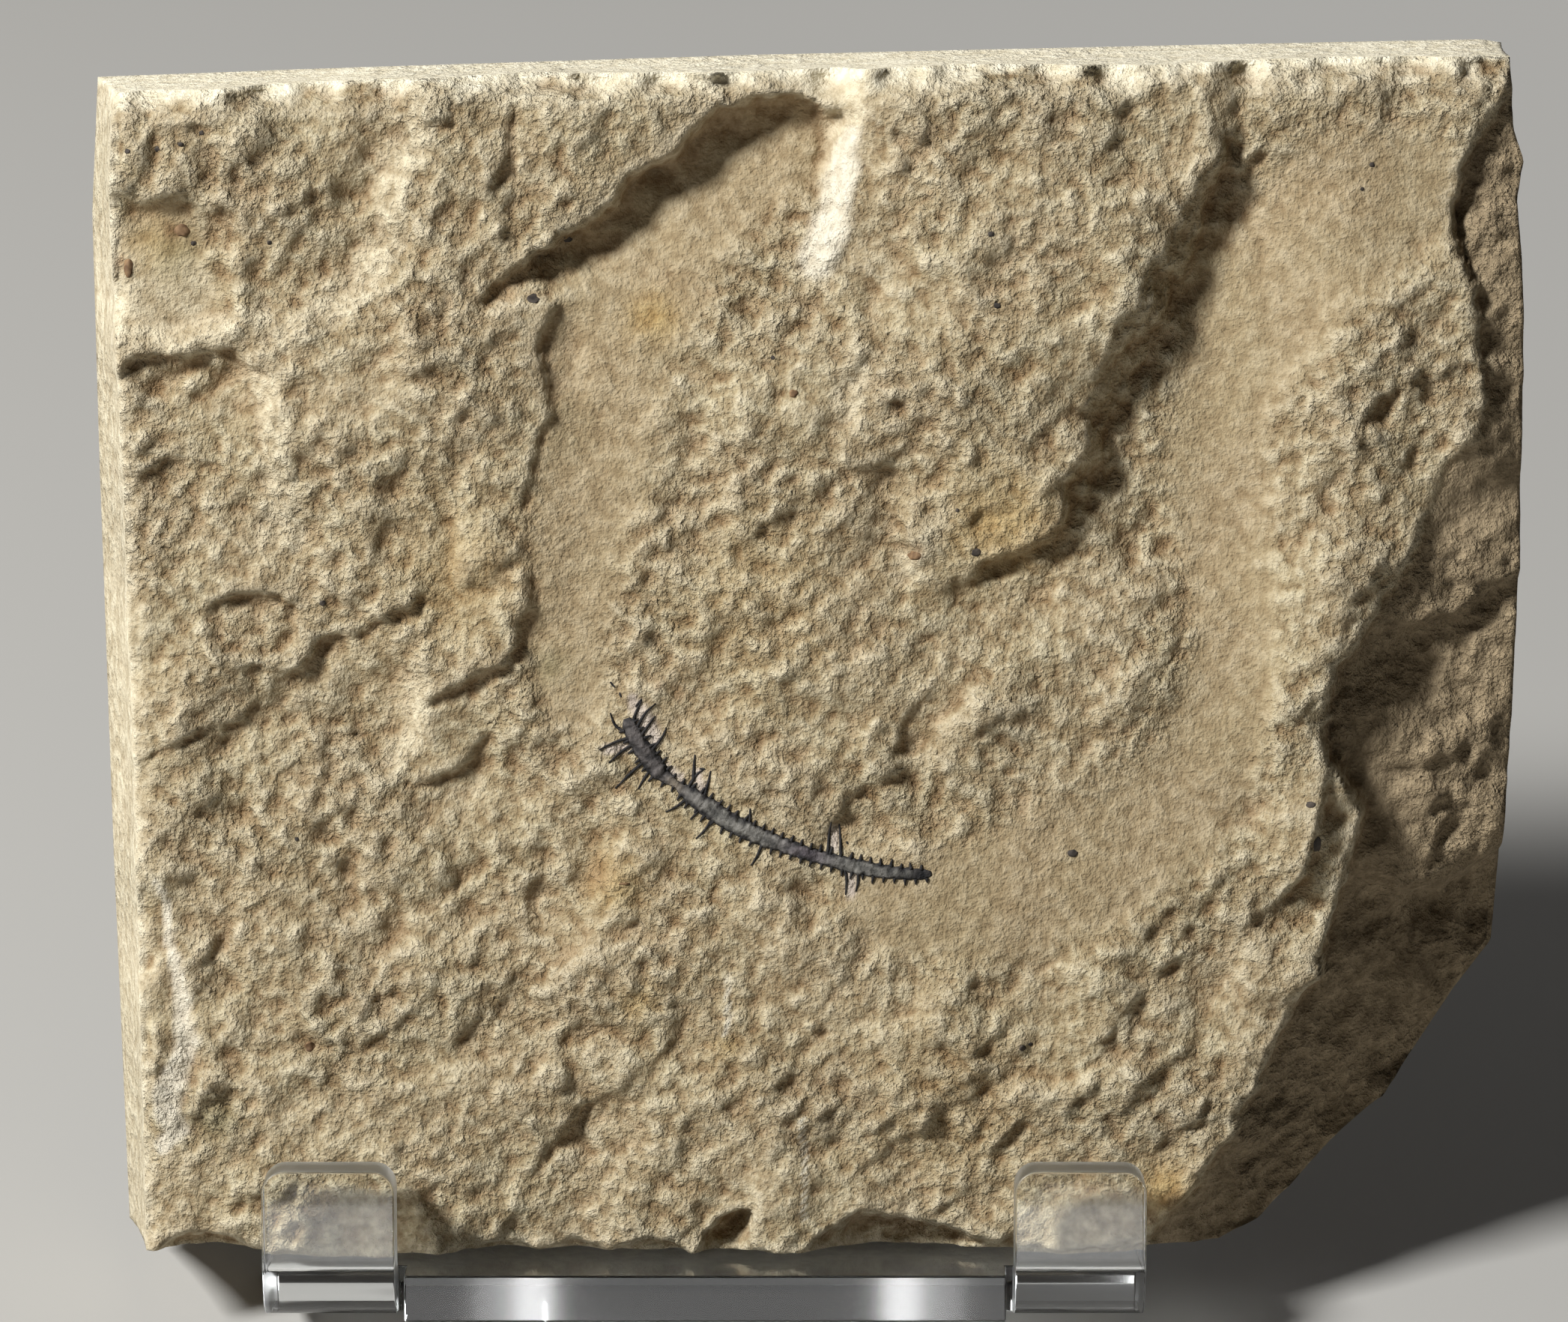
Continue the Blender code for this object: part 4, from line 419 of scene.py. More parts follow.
# Slopes below ledges that face the light, painted pale as painted light, as (ledge, how far down the
# slope).
CREAM_LEDGES = [("terrace_side", 2.8), ("patch_side", 2.6), ("tongue_side", 2.2),
                ("top_margin", 1.4), ("white_facet", 2.6)]
CREAM_EDGE = (0.5, 0.5)
# Pale strokes: painted highlight on the lit ridge and slope of the first two, pale ground in the others.
CREAM_STROKES = [
    [(-43, 60.4, 0.9), (-39.9, 59, 1.1), (-36.4, 59.2, 1.1), (-34, 60.4, 0.9)],
    [(-33.8, 50.4, 0.8), (-32.9, 48.3, 1), (-32.4, 46, 0.6)],
    [(6, 44, 0.8), (7.6, 46, 1.2), (8.6, 47.8, 0.8)], [(2.2, 54.4, 0.8), (3.4, 57.6, 0.9)],
    [(-41.5, 63, 1.6), (-38.6, 62, 1.6)]]
CREAM_STRENGTH = 0.68
HALO_STROKES = [
    [(-11, 36, 0.3), (-10.2, 34.6, 0.6), (-9.6, 33.4, 0.4)], [(-12.6, 32.8, 0.3), (-11.3, 32.9, 0.3)],
    [(2.8, 24.9, 0.3), (2.85, 23.6, 0.35)], [(1.7, 27.7, 0.25), (1.75, 26.5, 0.3)],
    [(-6.9, 31.3, 0.3), (-6.6, 30, 0.3)], [(-8.9, 31.6, 0.25), (-7.9, 30.9, 0.25)]]
# Soft stains, as (u, v, radius, strength).
OCHRE_STAINS = [
    (-9.5, 60.2, 1.4, 0.8), (-40.6, 64.6, 1.8, 0.5), (12.4, 47, 3.5, 0.6), (-12.2, 24.2, 1.6, 0.7),
    (22.9, 4.4, 1.6, 0.8), (-10.7, 16.6, 1.2, 0.5), (-5.2, 13.5, 1, 0.5), (-22, 44, 4, 0.3),
    (-3, 42, 5, 0.2), (10, 10, 5, 0.2)]
RUST_STAINS = [
    (-13.2, 24.6, 0.9, 0.6), (7, 45.5, 0.5, 0.6), (-39.8, 65.6, 0.5, 0.9), (-43.2, 63.6, 0.4, 0.8),
    (-9.3, 36.8, 0.3, 0.6), (-7.9, 36.3, 0.35, 0.6), (-11.7, 30.3, 0.35, 0.6), (23.2, 3.6, 0.6, 0.5)]
# Olive stains; the one at (-37.6, 9) is painted shadow below the bruise's step.
OLIVE_STAINS_AND_SHADOW = [
    (-16.2, 38.1, 1, 0.6), (-39.5, 64, 1.6, 0.5), (-37.6, 9, 1.4, 0.7), (-7.5, 29, 1.2, 0.2)]
# Colours along the stone's mottling, dark to light, as (position, linear red, green and blue).
ROUGH_TONES = [(0.36, (0.280, 0.205, 0.108)), (0.50, (0.415, 0.335, 0.200)),
               (0.64, (0.570, 0.495, 0.330))]
# The colours laid over them in this order, each where the mask of its name is.
STONE_TINTS = [
    ("smooth", [(0.36, (0.310, 0.234, 0.130)), (0.50, (0.375, 0.293, 0.170)),
                (0.64, (0.450, 0.366, 0.228))]),
    # Darker brown in hollows: painted shade, with some dust.
    ("hollow", [(0.36, (0.200, 0.118, 0.052)), (0.60, (0.370, 0.262, 0.140))]),
    # Lighter on proud crests: painted highlight.
    ("crest_highlight", [(0.36, (0.480, 0.405, 0.265)), (0.60, (0.700, 0.625, 0.460))]),
    ("blotch", [(0.36, (0.300, 0.205, 0.112)), (0.60, (0.560, 0.440, 0.300))]),
    # Pale cream: painted light on lit slopes and ridges, with some pale ground.
    ("cream_and_painted_light", [(0.36, (0.430, 0.350, 0.220)), (0.62, (0.720, 0.640, 0.460))]),
    ("ochre", [(0.35, (0.330, 0.205, 0.070)), (0.65, (0.500, 0.355, 0.145))]),
    ("rust", [(0.35, (0.130, 0.062, 0.026)), (0.65, (0.300, 0.165, 0.072))]),
    # Dark olive: stains, and painted shadow below the bruise's step.
    ("olive_and_shadow", [(0.35, (0.150, 0.128, 0.060)), (0.65, (0.275, 0.235, 0.125))]),
    # Darker broken flank: patina, with painted shade because the flank faces away from the light.
    ("flank_patina_and_shade", [(0.30, (0.190, 0.142, 0.082)), (0.70, (0.430, 0.335, 0.210))]),
    # Pale chalky sawn sides, brightened further at the top as painted light.
    ("sawn_chalk_and_light", [(0.36, (0.700, 0.620, 0.440)), (0.62, (0.920, 0.850, 0.660))]),
    # Chalky white, partly painted highlight on the facet that faces the light.
    ("chalk_and_facet_highlight", [(0.30, (0.640, 0.580, 0.450)), (0.60, (0.800, 0.750, 0.620))]),
    ("halo", [(0.30, (0.440, 0.365, 0.300)), (0.60, (0.600, 0.515, 0.430))]),
]
STONE_SURFACE = {"Roughness": 0.93, "Specular IOR Level": 0.25}
# Above this level over the back, the stone is its front face.
FRONT_LEVEL = 4.0
# How far into the broken flank its darker colour, partly painted shade, reaches.
FLANK_DARKENING_REACH = 1.5
CHALK_STRENGTH = 0.7
BLOTCH_STRENGTH = 0.20
BLOTCH_NOISE = (5.0, 91.0)
# Hollows are darkened by this much as painted shade, with some dust.
HOLLOW_DUST_AND_SHADE_STRENGTH = 0.75
# Crests are lightened by this much as painted highlight.
CREST_HIGHLIGHT_STRENGTH = 0.50
HOLLOW_DEPTH = 0.16
DENT_PASSES = 14
# Mottling that colours the stone and roughens it below the mesh's reach: scale, detail, roughness.
TONE_NOISE = (1100.0, 4.0, 0.62)
GRIT_NOISE = (3800.0, 3.0, 0.60)
TONE_RELIEF = 0.82
GRIT_RELIEF = 0.17
SMOOTH_GRAIN_SHARE = 0.27

# Small dark crumbs on the face, which stand in for shaded pits as painted shade, as (u, v, length,
# width), and the brown ones among them.
SHADED_PIT_SPECKS = [
    (-38.4, 64.8, 0.35, 0.3), (-42.3, 70.7, 0.35, 0.3), (-40.5, 70.8, 0.35, 0.35),
    (-39, 71.1, 0.4, 0.3), (-37.7, 71.8, 0.3, 0.3), (-33.6, 64.9, 0.3, 0.3), (-15, 65, 0.6, 0.4),
    (-17.1, 61.4, 0.8, 0.5), (-2.1, 57.7, 0.25, 0.25), (11.5, 65.6, 0.4, 0.35), (11.9, 61.1, 0.45, 0.4),
    (35.3, 69.8, 0.35, 0.3), (34.7, 68.3, 0.25, 0.25), (9.5, 48.1, 0.25, 0.25), (10.7, 45.4, 0.65, 0.5),
    (16.9, 26.1, 0.65, 0.5), (31.9, 29.4, 0.6, 0.4), (32.4, 26.7, 0.5, 1), (13.8, 13.6, 0.45, 0.4),
    (14.3, 13.8, 0.3, 0.25), (-32.3, 27, 0.25, 0.25), (-30.5, 42.1, 0.4, 0.35)]
BROWN_SPECKS = [
    (-39.1, 65.6, 0.9, 0.8), (-42.5, 63.3, 0.6, 1.2), (-0.8, 55.5, 0.6, 0.5), (6.8, 45.2, 0.8, 0.6),
    (-11.5, 24.2, 0.8, 0.16), (-31.6, 13.6, 0.7, 0.6)]
SPECK_FLATNESS = 0.45
SPECK_RAGGEDNESS = 0.30
SPECK_LUMPINESS = 1.4
SPECK_SUBDIVISIONS = 3
SPECK_SEED_STEP = 3.7
CRUMB_SURFACE = {"Roughness": 0.8}
CRUMB_NOISE = (2500.0, 3.0)
# The pieces made of specks, as (name, specks, tones, seed).
SPECK_KINDS = [
    # Near-black crumbs in place of shaded pits: painted shade.
    ("shaded_pit_specks", SHADED_PIT_SPECKS, [(0.35, (0.020, 0.016, 0.013)), (0.65, (0.070, 0.055, 0.042))], 1.0),
    ("brown_specks", BROWN_SPECKS, [(0.35, (0.110, 0.058, 0.026)), (0.65, (0.270, 0.165, 0.080))], 2.0),
]

# The worm's spine, as (u, v, full width), from head to tail, with a waist behind the head.
SPINE = [
    (-11.35, 34.75, 0.5), (-11.2, 34.3, 1), (-10.8, 33.5, 1.2), (-10.4, 32.8, 1.25), (-9.8, 32, 1.35),
    (-9.3, 31.3, 1.2), (-8.8, 30.9, 0.85), (-8.3, 30.6, 0.55), (-7.85, 30.25, 0.8), (-7.3, 29.85, 1.2),
    (-6.2, 29.1, 1.38), (-5.1, 28.35, 1.32), (-3.8, 27.65, 1.26), (-2.6, 27.1, 1.15),
    (-1.2, 26.6, 1.05), (0.4, 26, 0.92), (1.9, 25.6, 0.98), (3.3, 25.25, 1.05), (4.8, 25, 0.92),
    (6.3, 24.85, 0.85), (7.5, 24.8, 0.75), (7.95, 24.85, 0.35)]
WORM_BED_HALF_WIDTH = 0.5
WORM_BED_REACH = 2.6
WORM_BED_CALM = 0.7
SPINE_STEP = 0.06
BODY_FLATNESS = 0.50
BODY_RISE = -0.03
RING_PITCH = 0.62
RING_DEPTH = 0.10
RING_SHARPNESS = 6
BODY_RAGGEDNESS = 0.10
BODY_NOISE = (0.5, 4.4)
BODY_SIDES = 5
SPINE_SMOOTHING = 30

# The worm's longer bristles, each from its root in the body to its tip, as (u, v) points.
BRISTLES = [
    [(-11, 34.3), (-10.8, 35.1), (-10.4, 35.9)], [(-10.8, 34), (-10.15, 35.2), (-9.5, 35.7)],
    [(-10.5, 33.6), (-9.9, 34.4), (-9.55, 34.9)], [(-9.8, 32.7), (-9.1, 33.5), (-8.85, 34.1)],
    [(-11.3, 33.8), (-12.1, 34.2), (-12.4, 35.1)], [(-11.2, 33.5), (-12.15, 33.2), (-13.1, 32.75)],
    [(-10.8, 33.2), (-11.85, 32.5), (-12.5, 31.9)], [(-10.2, 32), (-11.1, 31.25), (-12.1, 30.2)],
    [(-9.6, 31.8), (-10.35, 30.75), (-10.65, 30.2)], [(-7.4, 29.8), (-8.25, 29.05), (-8.9, 28.75)],
    [(-6.6, 29.2), (-6.95, 28.7), (-7.35, 28.3)], [(-5.8, 28.6), (-6.4, 27.6), (-7, 27.05)],
    [(-2.7, 27), (-3.1, 25.95), (-3.5, 25.4)], [(-7.6, 30.1), (-6.95, 31.25), (-6.5, 31.5)],
    [(-7.15, 30.8), (-7.1, 31.7), (-7.05, 32.45)], [(-6.5, 29.6), (-6.15, 30.9), (-6.05, 31.45)],
    [(-3.6, 27.9), (-3.55, 28.6), (-3.55, 29.05)], [(1.35, 25.9), (1.45, 27.2), (1.6, 28.1)],
    [(2.2, 25.6), (2.2, 26.7), (2.1, 27.9)], [(2.3, 25.6), (2.6, 24.5), (2.5, 23.45)],
    [(3.3, 25.1), (3.3, 24.3), (3.15, 23.7)]]
# Scraps of bristle that lie apart from the body.
SCRAPS = [
    [(-11.8, 36.4), (-11.7, 36.1)], [(-12.4, 37.05), (-12.1, 36.7)], [(2.55, 26.85), (2.65, 26.7)],
    [(-10.8, 35.5), (-10.4, 36)], [(-6.75, 31.55), (-6.4, 31.55)], [(-8.5, 30.85), (-8.35, 30.6)]]
# Radii from root to tip, and how far each kind rises over the face.
BRISTLE_RADII = (0.115, 0.09, 0.045)
BRISTLE_RISE = 0.02
SCRAP_RADII = (0.05, 0.075, 0.05)
TUBE_POINTS = 10
TUBE_SMOOTHING = 2
TUBE_SIDES = 2
# Short spikes along the body; their roots lie within its flanks.
SPIKE_RADII = (0.13, 0.04)
SPIKE_RISE = 0.05
SPIKE_PITCH = 0.66
SPIKE_LENGTH = 0.36
SPIKE_LENGTH_SHARE = 0.8
SPIKE_VARIATION = 0.6
SPIKE_VARIATION_RATE = 1.7
SPIKE_VARIATION_LAYER = 6.1
SPIKE_LEAN = 0.4
SPIKE_LEAN_LAYER = 2.2
SPIKE_ROOT_SHARE = 0.8
# The worm's paler fill, with its ragged edge, the tail that has none and soft stains on it.
FILL_EDGE = 0.58
FILL_EDGE_WIDTH = 0.16
FILL_RAGGEDNESS = 0.30
FILL_NOISE = (0.45, 17.0)
TAIL_START = 4.6
TAIL_FADE = 1.2
MIDDLE_START = -9.5
MIDDLE_FADE = 4.0
TAIL_FLECKS = [(5.7, 24.95, 0.22, 0.9), (6.15, 24.8, 0.14, 0.8), (6.5, 24.9, 0.18, 0.8)]
PURPLE_STAINS = [(0, 26.2, 1.5, 0.8)]
WAIST_STAINS = [(-8.3, 30.6, 0.5, 0.8)]
WORM_SURFACE = {"Roughness": 0.75, "Specular IOR Level": 0.3}
WORM_NOISE = (1700.0, 4.0, 0.6)
WORM_RELIEF = 0.25
HEAD_TONES = [(0.36, (0.030, 0.027, 0.027)), (0.62, (0.120, 0.106, 0.100))]
EDGE_TONES = [(0.36, (0.008, 0.008, 0.009)), (0.64, (0.034, 0.031, 0.030))]
WORM_TONES = [
    ("middle", [(0.36, (0.060, 0.058, 0.052)), (0.62, (0.210, 0.200, 0.178))]),
    ("purple", [(0.36, (0.055, 0.045, 0.055)), (0.62, (0.170, 0.140, 0.160))]),
    ("waist", [(0.36, (0.110, 0.090, 0.066)), (0.62, (0.330, 0.275, 0.205))]),
]


def smooth_step(share):
    share = np.clip(share, 0.0, 1.0)
    return share * share * (3.0 - 2.0 * share)


def line_field(u, v, line):
    """Distance to an open line, whether a point is right of its direction, and its third value."""
    points = np.array([(*point, 0.0)[:3] for point in line], dtype=float)
    start = points[:-1]
    step = np.diff(points, axis=0)
    length = np.hypot(step[:, 0], step[:, 1])
    from_u = u[:, None] - start[:, 0]
    from_v = v[:, None] - start[:, 1]
    along = np.clip((from_u * step[:, 0] + from_v * step[:, 1]) / length**2, 0.0, 1.0)
    distance = np.hypot(from_u - along * step[:, 0], from_v - along * step[:, 1])
    across = (from_u * step[:, 1] - from_v * step[:, 0]) / length
    # At a shared corner both segments are as near; the one seen more squarely knows the side.
    nearest = np.argmin(distance - SQUARE_BIAS * np.abs(across), axis=1)
    row = np.arange(len(u))
    closest = distance[row, nearest]
    weight = np.exp((closest[:, None] - distance) / LINE_BLEND)
    value = (weight * (start[:, 2] + along * step[:, 2])).sum(axis=1) / weight.sum(axis=1)
    return closest, across[row, nearest] > 0.0, value


def noise_layer(u, v, wavelength, layer):
    """One octave of smooth noise, from -1 to 1."""
    return np.array([noise.noise(Vector((a / wavelength, b / wavelength, layer))) for a, b in zip(u, v)])


def waves(u, v, octaves, layer_step=0.0):
    """The sum of noise given as (wavelength, height, noise layer)."""
    return sum(height * noise_layer(u, v, length, layer + layer_step)
               for length, height, layer in octaves)


def streaked(u, v):
    """Coordinates along and across the streaks, squeezed so that noise stretches along them."""
    angle = math.radians(STREAK_DEGREES)
    along = u * math.cos(angle) + v * math.sin(angle)
    across = v * math.cos(angle) - u * math.sin(angle)
    return along / STREAK_STRETCH, across


def shifted(u, v, octaves):
    """Points moved at random, each way by its own noise."""
    return u + waves(u, v, octaves), v + waves(u, v, octaves, SHIFT_LAYER_STEP)


def chip_level(place, centre):
    """Height at a place of the tilted plane that belongs to a cell's centre."""
    tilt = Vector([noise.noise(centre * CHIP_TILT_SCALE + Vector((0.0, 0.0, layer)))
                   for layer in CHIP_TILT_LAYERS])
    return (place - centre).dot(tilt) + CHIP_OFFSET * tilt.z


def chips(u, v, size, slope, softness, layer):
    """Flat chips, each tilted its own way, blended into the next ones at their joins."""
    total = np.zeros(len(u))
    for number, (a, b) in enumerate(zip(u, v)):
        place = Vector((a / size, b / size, layer))
        distances, centres = noise.voronoi(place)
        weights = [math.exp((distances[0] - distance) / softness) for distance in distances]
        levels = [chip_level(place, centre) for centre in centres]
        total[number] = sum(w * level for w, level in zip(weights, levels)) / sum(weights)
    return total * size * slope


def crumbs(u, v, size, height, layer):
    """Rounded crumbs, highest at their centres."""
    nearest = [noise.voronoi(Vector((a / size, b / size, layer)))[0][0] for a, b in zip(u, v)]
    return height * (CRUMB_MIDDLE - np.array(nearest))


def lumps(u, v):
    """Split-rock relief: lumps and tilted chips, with finer lumps and crumbs in patches."""
    along, across = streaked(u, v)
    coarse = waves(along, across, LUMPS)
    fine = waves(along, across, FINE_LUMPS)
    crumpled = shifted(along, across, CRUMPLE)
    for chip in CHIPS:
        coarse += chips(*crumpled, *chip)
    fine += crumbs(*crumpled, *CRUMBS)
    return coarse + fine * patchy(u, v)


def patchy(u, v):
    """The strength of the fine relief, about 1 on the whole and uneven over the face."""
    return np.clip(1.0 + PATCH_VARIATION * noise_layer(u, v, PATCH_SIZE, PATCH_LAYER), *PATCH_RANGE)


def strokes(u, v, lines, edge=STROKE_EDGE):
    """1 along strokes given as (u, v, half width) points, falling to 0 past their edges."""
    share = np.zeros(len(u))
    for line in lines:
        distance, _, reach = line_field(u, v, line)
        share = np.maximum(share, 1.0 - smooth_step((distance / reach - edge[0]) / edge[1]))
    return share


def near_worm(u, v):
    """1 beside the worm, falling to 0 past its bristles."""
    distance = line_field(u, v, SPINE)[0]
    return 1.0 - smooth_step((distance - WORM_BED_HALF_WIDTH) / WORM_BED_REACH)


def swells(u, v, spots):
    """The sum of round rises given as (u, v, reach along u, reach along v, rise)."""
    total = np.zeros(len(u))
    for centre_u, centre_v, reach_u, reach_v, rise in spots:
        away = ((u - centre_u) / reach_u) ** 2 + ((v - centre_v) / reach_v) ** 2
        total += rise * np.exp(-away)
    return total


def stains(u, v, spots):
    """Soft round stains given as (u, v, radius, strength), 1 at most."""
    return np.clip(swells(u, v, [(a, b, reach, reach, rise) for a, b, reach, rise in spots]), 0.0, 1.0)


def pans(u, v):
    total = np.zeros(len(u))
    for centre_u, centre_v, half_u, half_v, depth, power in PANS:
        away = np.abs((u - centre_u) / half_u) ** power + np.abs((v - centre_v) / half_v) ** power
        edge = away ** (1.0 / power)
        total -= depth * (1.0 - smooth_step((edge - 1.0) / PAN_RIM + 0.5))
    return total


def ledge_fall(u, v, ledges):
    """How far the ground lies below its level on the low sides of ledges."""
    total = np.zeros(len(u))
    ragged = DROP_VARIATION * noise_layer(u, v, DROP_WAVELENGTH, DROP_LAYER)
    for edge_width, edge_share, width, reach, line in ledges.values():
        distance, is_low, drop = line_field(u, v, line)
        steep = edge_share * smooth_step(distance / edge_width)
        gentle = (1.0 - edge_share) * smooth_step(distance / width)
        varied = 1.0 + ragged * np.exp(-distance / DROP_WAVELENGTH)
        fall = drop * varied * (steep + gentle) * np.exp(-distance / reach)
        total += np.where(is_low, fall, 0.0)
    return total


def rim_fall(u, v):
    """How far the face is rounded down towards its sawn edges."""
    total = np.zeros(len(u))
    ragged = np.maximum(1.0 + RIM_RAGGEDNESS * noise_layer(u, v, RIM_WAVELENGTH, RIM_LAYER), 0.0)
    for line, reach, fall in ROUNDED_RIMS:
        total += fall * ragged * (1.0 - smooth_step(line_field(u, v, line)[0] / reach))
    return total


def front_bed(u, v):
    """Height of the front face without its lumps."""
    return SLAB_LEVEL + swells(u, v, SWELLS) + pans(u, v) - ledge_fall(u, v, LEDGES) - rim_fall(u, v)


def flank(u, v, front):
    """The front height, carried past the flank edge down to the back outline."""
    distance, is_flank, _ = line_field(u, v, FLANK_EDGE)
    to_outline = line_field(u, v, RIM_RIGHT)[0]
    share = distance / (distance + to_outline + OUTLINE_MARGIN)
    stations, drops, levels = np.array(FLANK_PROFILE).T
    inner = front - np.interp(v, stations, drops)
    outer = np.interp(v, stations, levels)
    level = inner * (1.0 - share) + outer * share - ledge_fall(u, v, FLANK_LEDGES)
    level = np.maximum(level, FLANK_LOWEST)
    blend = np.where(is_flank, smooth_step(distance / FLANK_EDGE_WIDTH), 0.0)
    return front + blend * (level - front)


def face_height(u, v):
    """Height of the slab's front over its flat back."""
    ragged_u, ragged_v = shifted(u, v, WANDER)
    calm = near_worm(u, v)
    ragged_u = ragged_u + calm * (u - ragged_u)
    ragged_v = ragged_v + calm * (v - ragged_v)
    rough = 1.0 - (1.0 - SMOOTH_SHARE) * strokes(u, v, SMOOTH_GROUND, SMOOTH_EDGE)
    rough *= 1.0 - WORM_BED_CALM * calm
    bed = flank(ragged_u, ragged_v, front_bed(ragged_u, ragged_v))
    return bed + rough * lumps(u, v)


def travelled(line):
    """The way travelled along a line at each of its points."""
    steps = np.diff(np.array(line)[:, :2], axis=0)
    return np.concatenate([[0.0], np.cumsum(np.hypot(*steps.T))])


def values_at(line, way):
    """A line's points, with their third values if it has them, at ways travelled along it."""
    known = travelled(line)
    return np.stack([np.interp(way, known, values) for values in np.array(line).T], axis=-1)


def walk(line, shares):
    """Points at the given shares of a line's length."""
    return values_at(line, shares * travelled(line)[-1])


def patch(sides, across, up):
    """Points inside four joined sides, at shares across and up between them."""
    left, right, bottom, top = sides
    a = across[:, None]
    b = up[:, None]
    between_rows = (1 - b) * walk(bottom, across) + b * walk(top, across)
    between_columns = (1 - a) * walk(left, up) + a * walk(right, up)
    low = (1 - a) * np.array(bottom[0]) + a * np.array(bottom[-1])
    high = (1 - a) * np.array(top[0]) + a * np.array(top[-1])
    return between_rows + between_columns - (1 - b) * low - b * high


def leaning_frame():
    """The matrix of the leaning slab, whose origin is its bottom back edge."""
    place = Matrix.Translation((0.0, SLAB_EDGE_Y * MM, SLAB_EDGE_Z * MM))
    return place @ Matrix.Rotation(math.radians(90.0 - LEAN_DEGREES), 4, "X")


def in_world(place):
    """World position of a point given in slab millimetres."""
    return leaning_frame() @ (Vector(place) * MM)


def add_object(name, data):
    """A mesh, curve, light or camera put in the scene."""
    made = bpy.data.objects.new(name, data)
    bpy.context.scene.collection.objects.link(made)
    return made


def add_shape(name, shape, looks):
    """A shape put in the scene with its materials."""
    mesh = bpy.data.meshes.new(name)
    shape.to_mesh(mesh)
    shape.free()
    for look in looks:
        mesh.materials.append(look)
    return add_object(name, mesh)


def finish_shape(name, shape, looks, frame_matrix):
    """A visible piece, from a shape in the millimetres of a frame."""
    bmesh.ops.recalc_face_normals(shape, faces=shape.faces)
    made = add_shape(name, shape, looks)
    made.data.transform(frame_matrix @ Matrix.Scale(MM, 4))
    made.data.shade_smooth()
    return made


def take_shape(holder):
    """The final mesh of an object as a shape, with the object removed."""
    graph = bpy.context.evaluated_depsgraph_get()
    mesh = bpy.data.meshes.new_from_object(holder.evaluated_get(graph))
    bpy.data.objects.remove(holder)
    shape = bmesh.new()
    shape.from_mesh(mesh)
    bpy.data.meshes.remove(mesh)
    return shape


def grid_places(shape, columns, rows):
    """Make a grid and return its vertices with their column and row numbers."""
    made = bmesh.ops.create_grid(shape, x_segments=columns, y_segments=rows, size=1.0)
    corner = np.array([vertex.co[:2] for vertex in made["verts"]])
    return made["verts"], np.rint((corner + 1.0) / 2.0 * (columns, rows)).astype(int)


def slab_shape():
    """Front, sides and back of the slab as one closed surface in slab coordinates."""
    shape = bmesh.new()
    columns = FACE_COLUMNS + 2 * SIDE_RINGS
    rows = FACE_ROWS + 2 * SIDE_RINGS
    vertices, index = grid_places(shape, columns, rows)
    ring = np.minimum(index, (columns, rows) - index).min(axis=1)
    across, up = np.clip((index - SIDE_RINGS) / (FACE_COLUMNS, FACE_ROWS), 0.0, 1.0).T
    rim = patch(RIM_SIDES, across, up)
    back = patch(BACK_SIDES, across, up)
    centre = back.mean(axis=0)
    height = face_height(rim[:, 0], rim[:, 1])
    down = np.clip(1.0 - ring / SIDE_RINGS, 0.0, 1.0)
    low = np.clip((down - SIDE_BEND) / (1.0 - SIDE_BEND), 0.0, 1.0)
    side_share = np.clip(down / SIDE_BEND, 0.0, 1.0)
    side = rim + (back - rim) * side_share[:, None]
    side_height = height + (BACK_EDGE_HEIGHT - height) * side_share
    dent = side_relief(side, side_height) * np.sin(math.pi * side_share)
    inward = (centre - side) / np.linalg.norm(centre - side, axis=1)[:, None]
    side = side + inward * dent[:, None]
    edge = centre + (back - centre) * BACK_EDGE_SHRINK
    place = side + (edge - side) * low[:, None]
    level = np.minimum(side_height * (1.0 - low), height_limit(place[:, 1]))
    for vertex, where, rise in zip(vertices, place, level):
        vertex.co = Vector((*where, rise))
    add_back(shape, centre)
    return shape


def height_limit(v):
    """How high over its back the slab may rise at v and stay inside the box of the solids."""
    lean = math.radians(LEAN_DEGREES)
    top = CAD_BOX[1][2] / MM - TOP_CLEARANCE - SLAB_EDGE_Z
    return (top - v * math.cos(lean)) / math.sin(lean)


def side_relief(place, height):
    """Shallow dents in the sides."""
    total = np.zeros(len(height))
    for wavelength, depth in SIDE_DENTS:
        total += depth * np.array([0.5 + 0.5 * noise.noise(Vector((x, y, z)) / wavelength)
                                   for (x, y), z in zip(place, height)])
    return total


def add_back(shape, centre):
    """Close the back with its own coarser, nearly flat grid."""
    bmesh.ops.remove_doubles(shape, verts=shape.verts, dist=GRID_MERGE_DISTANCE)
    front_edges = [edge for edge in shape.edges if edge.is_boundary]
    vertices, index = grid_places(shape, BACK_COLUMNS, BACK_ROWS)
    across, up = (index / (BACK_COLUMNS, BACK_ROWS)).T
    place = centre + (patch(BACK_SIDES, across, up) - centre) * (BACK_EDGE_SHRINK - BACK_INSET)
    for vertex, where in zip(vertices, place):
        vertex.co = Vector((*where, 0.0))
    made = {edge for vertex in vertices for edge in vertex.link_edges}
    back_edges = [edge for edge in shape.edges if edge.is_boundary and edge in made]
    bmesh.ops.bridge_loops(shape, edges=front_edges + back_edges)


def mesh_places(item):
    """A piece's vertices in slab millimetres."""
    place = np.empty(len(item.data.vertices) * 3)
    item.data.vertices.foreach_get("co", place)
    turn = np.array(leaning_frame().inverted())
    return (place.reshape(-1, 3) @ turn[:3, :3].T + turn[:3, 3]) / MM


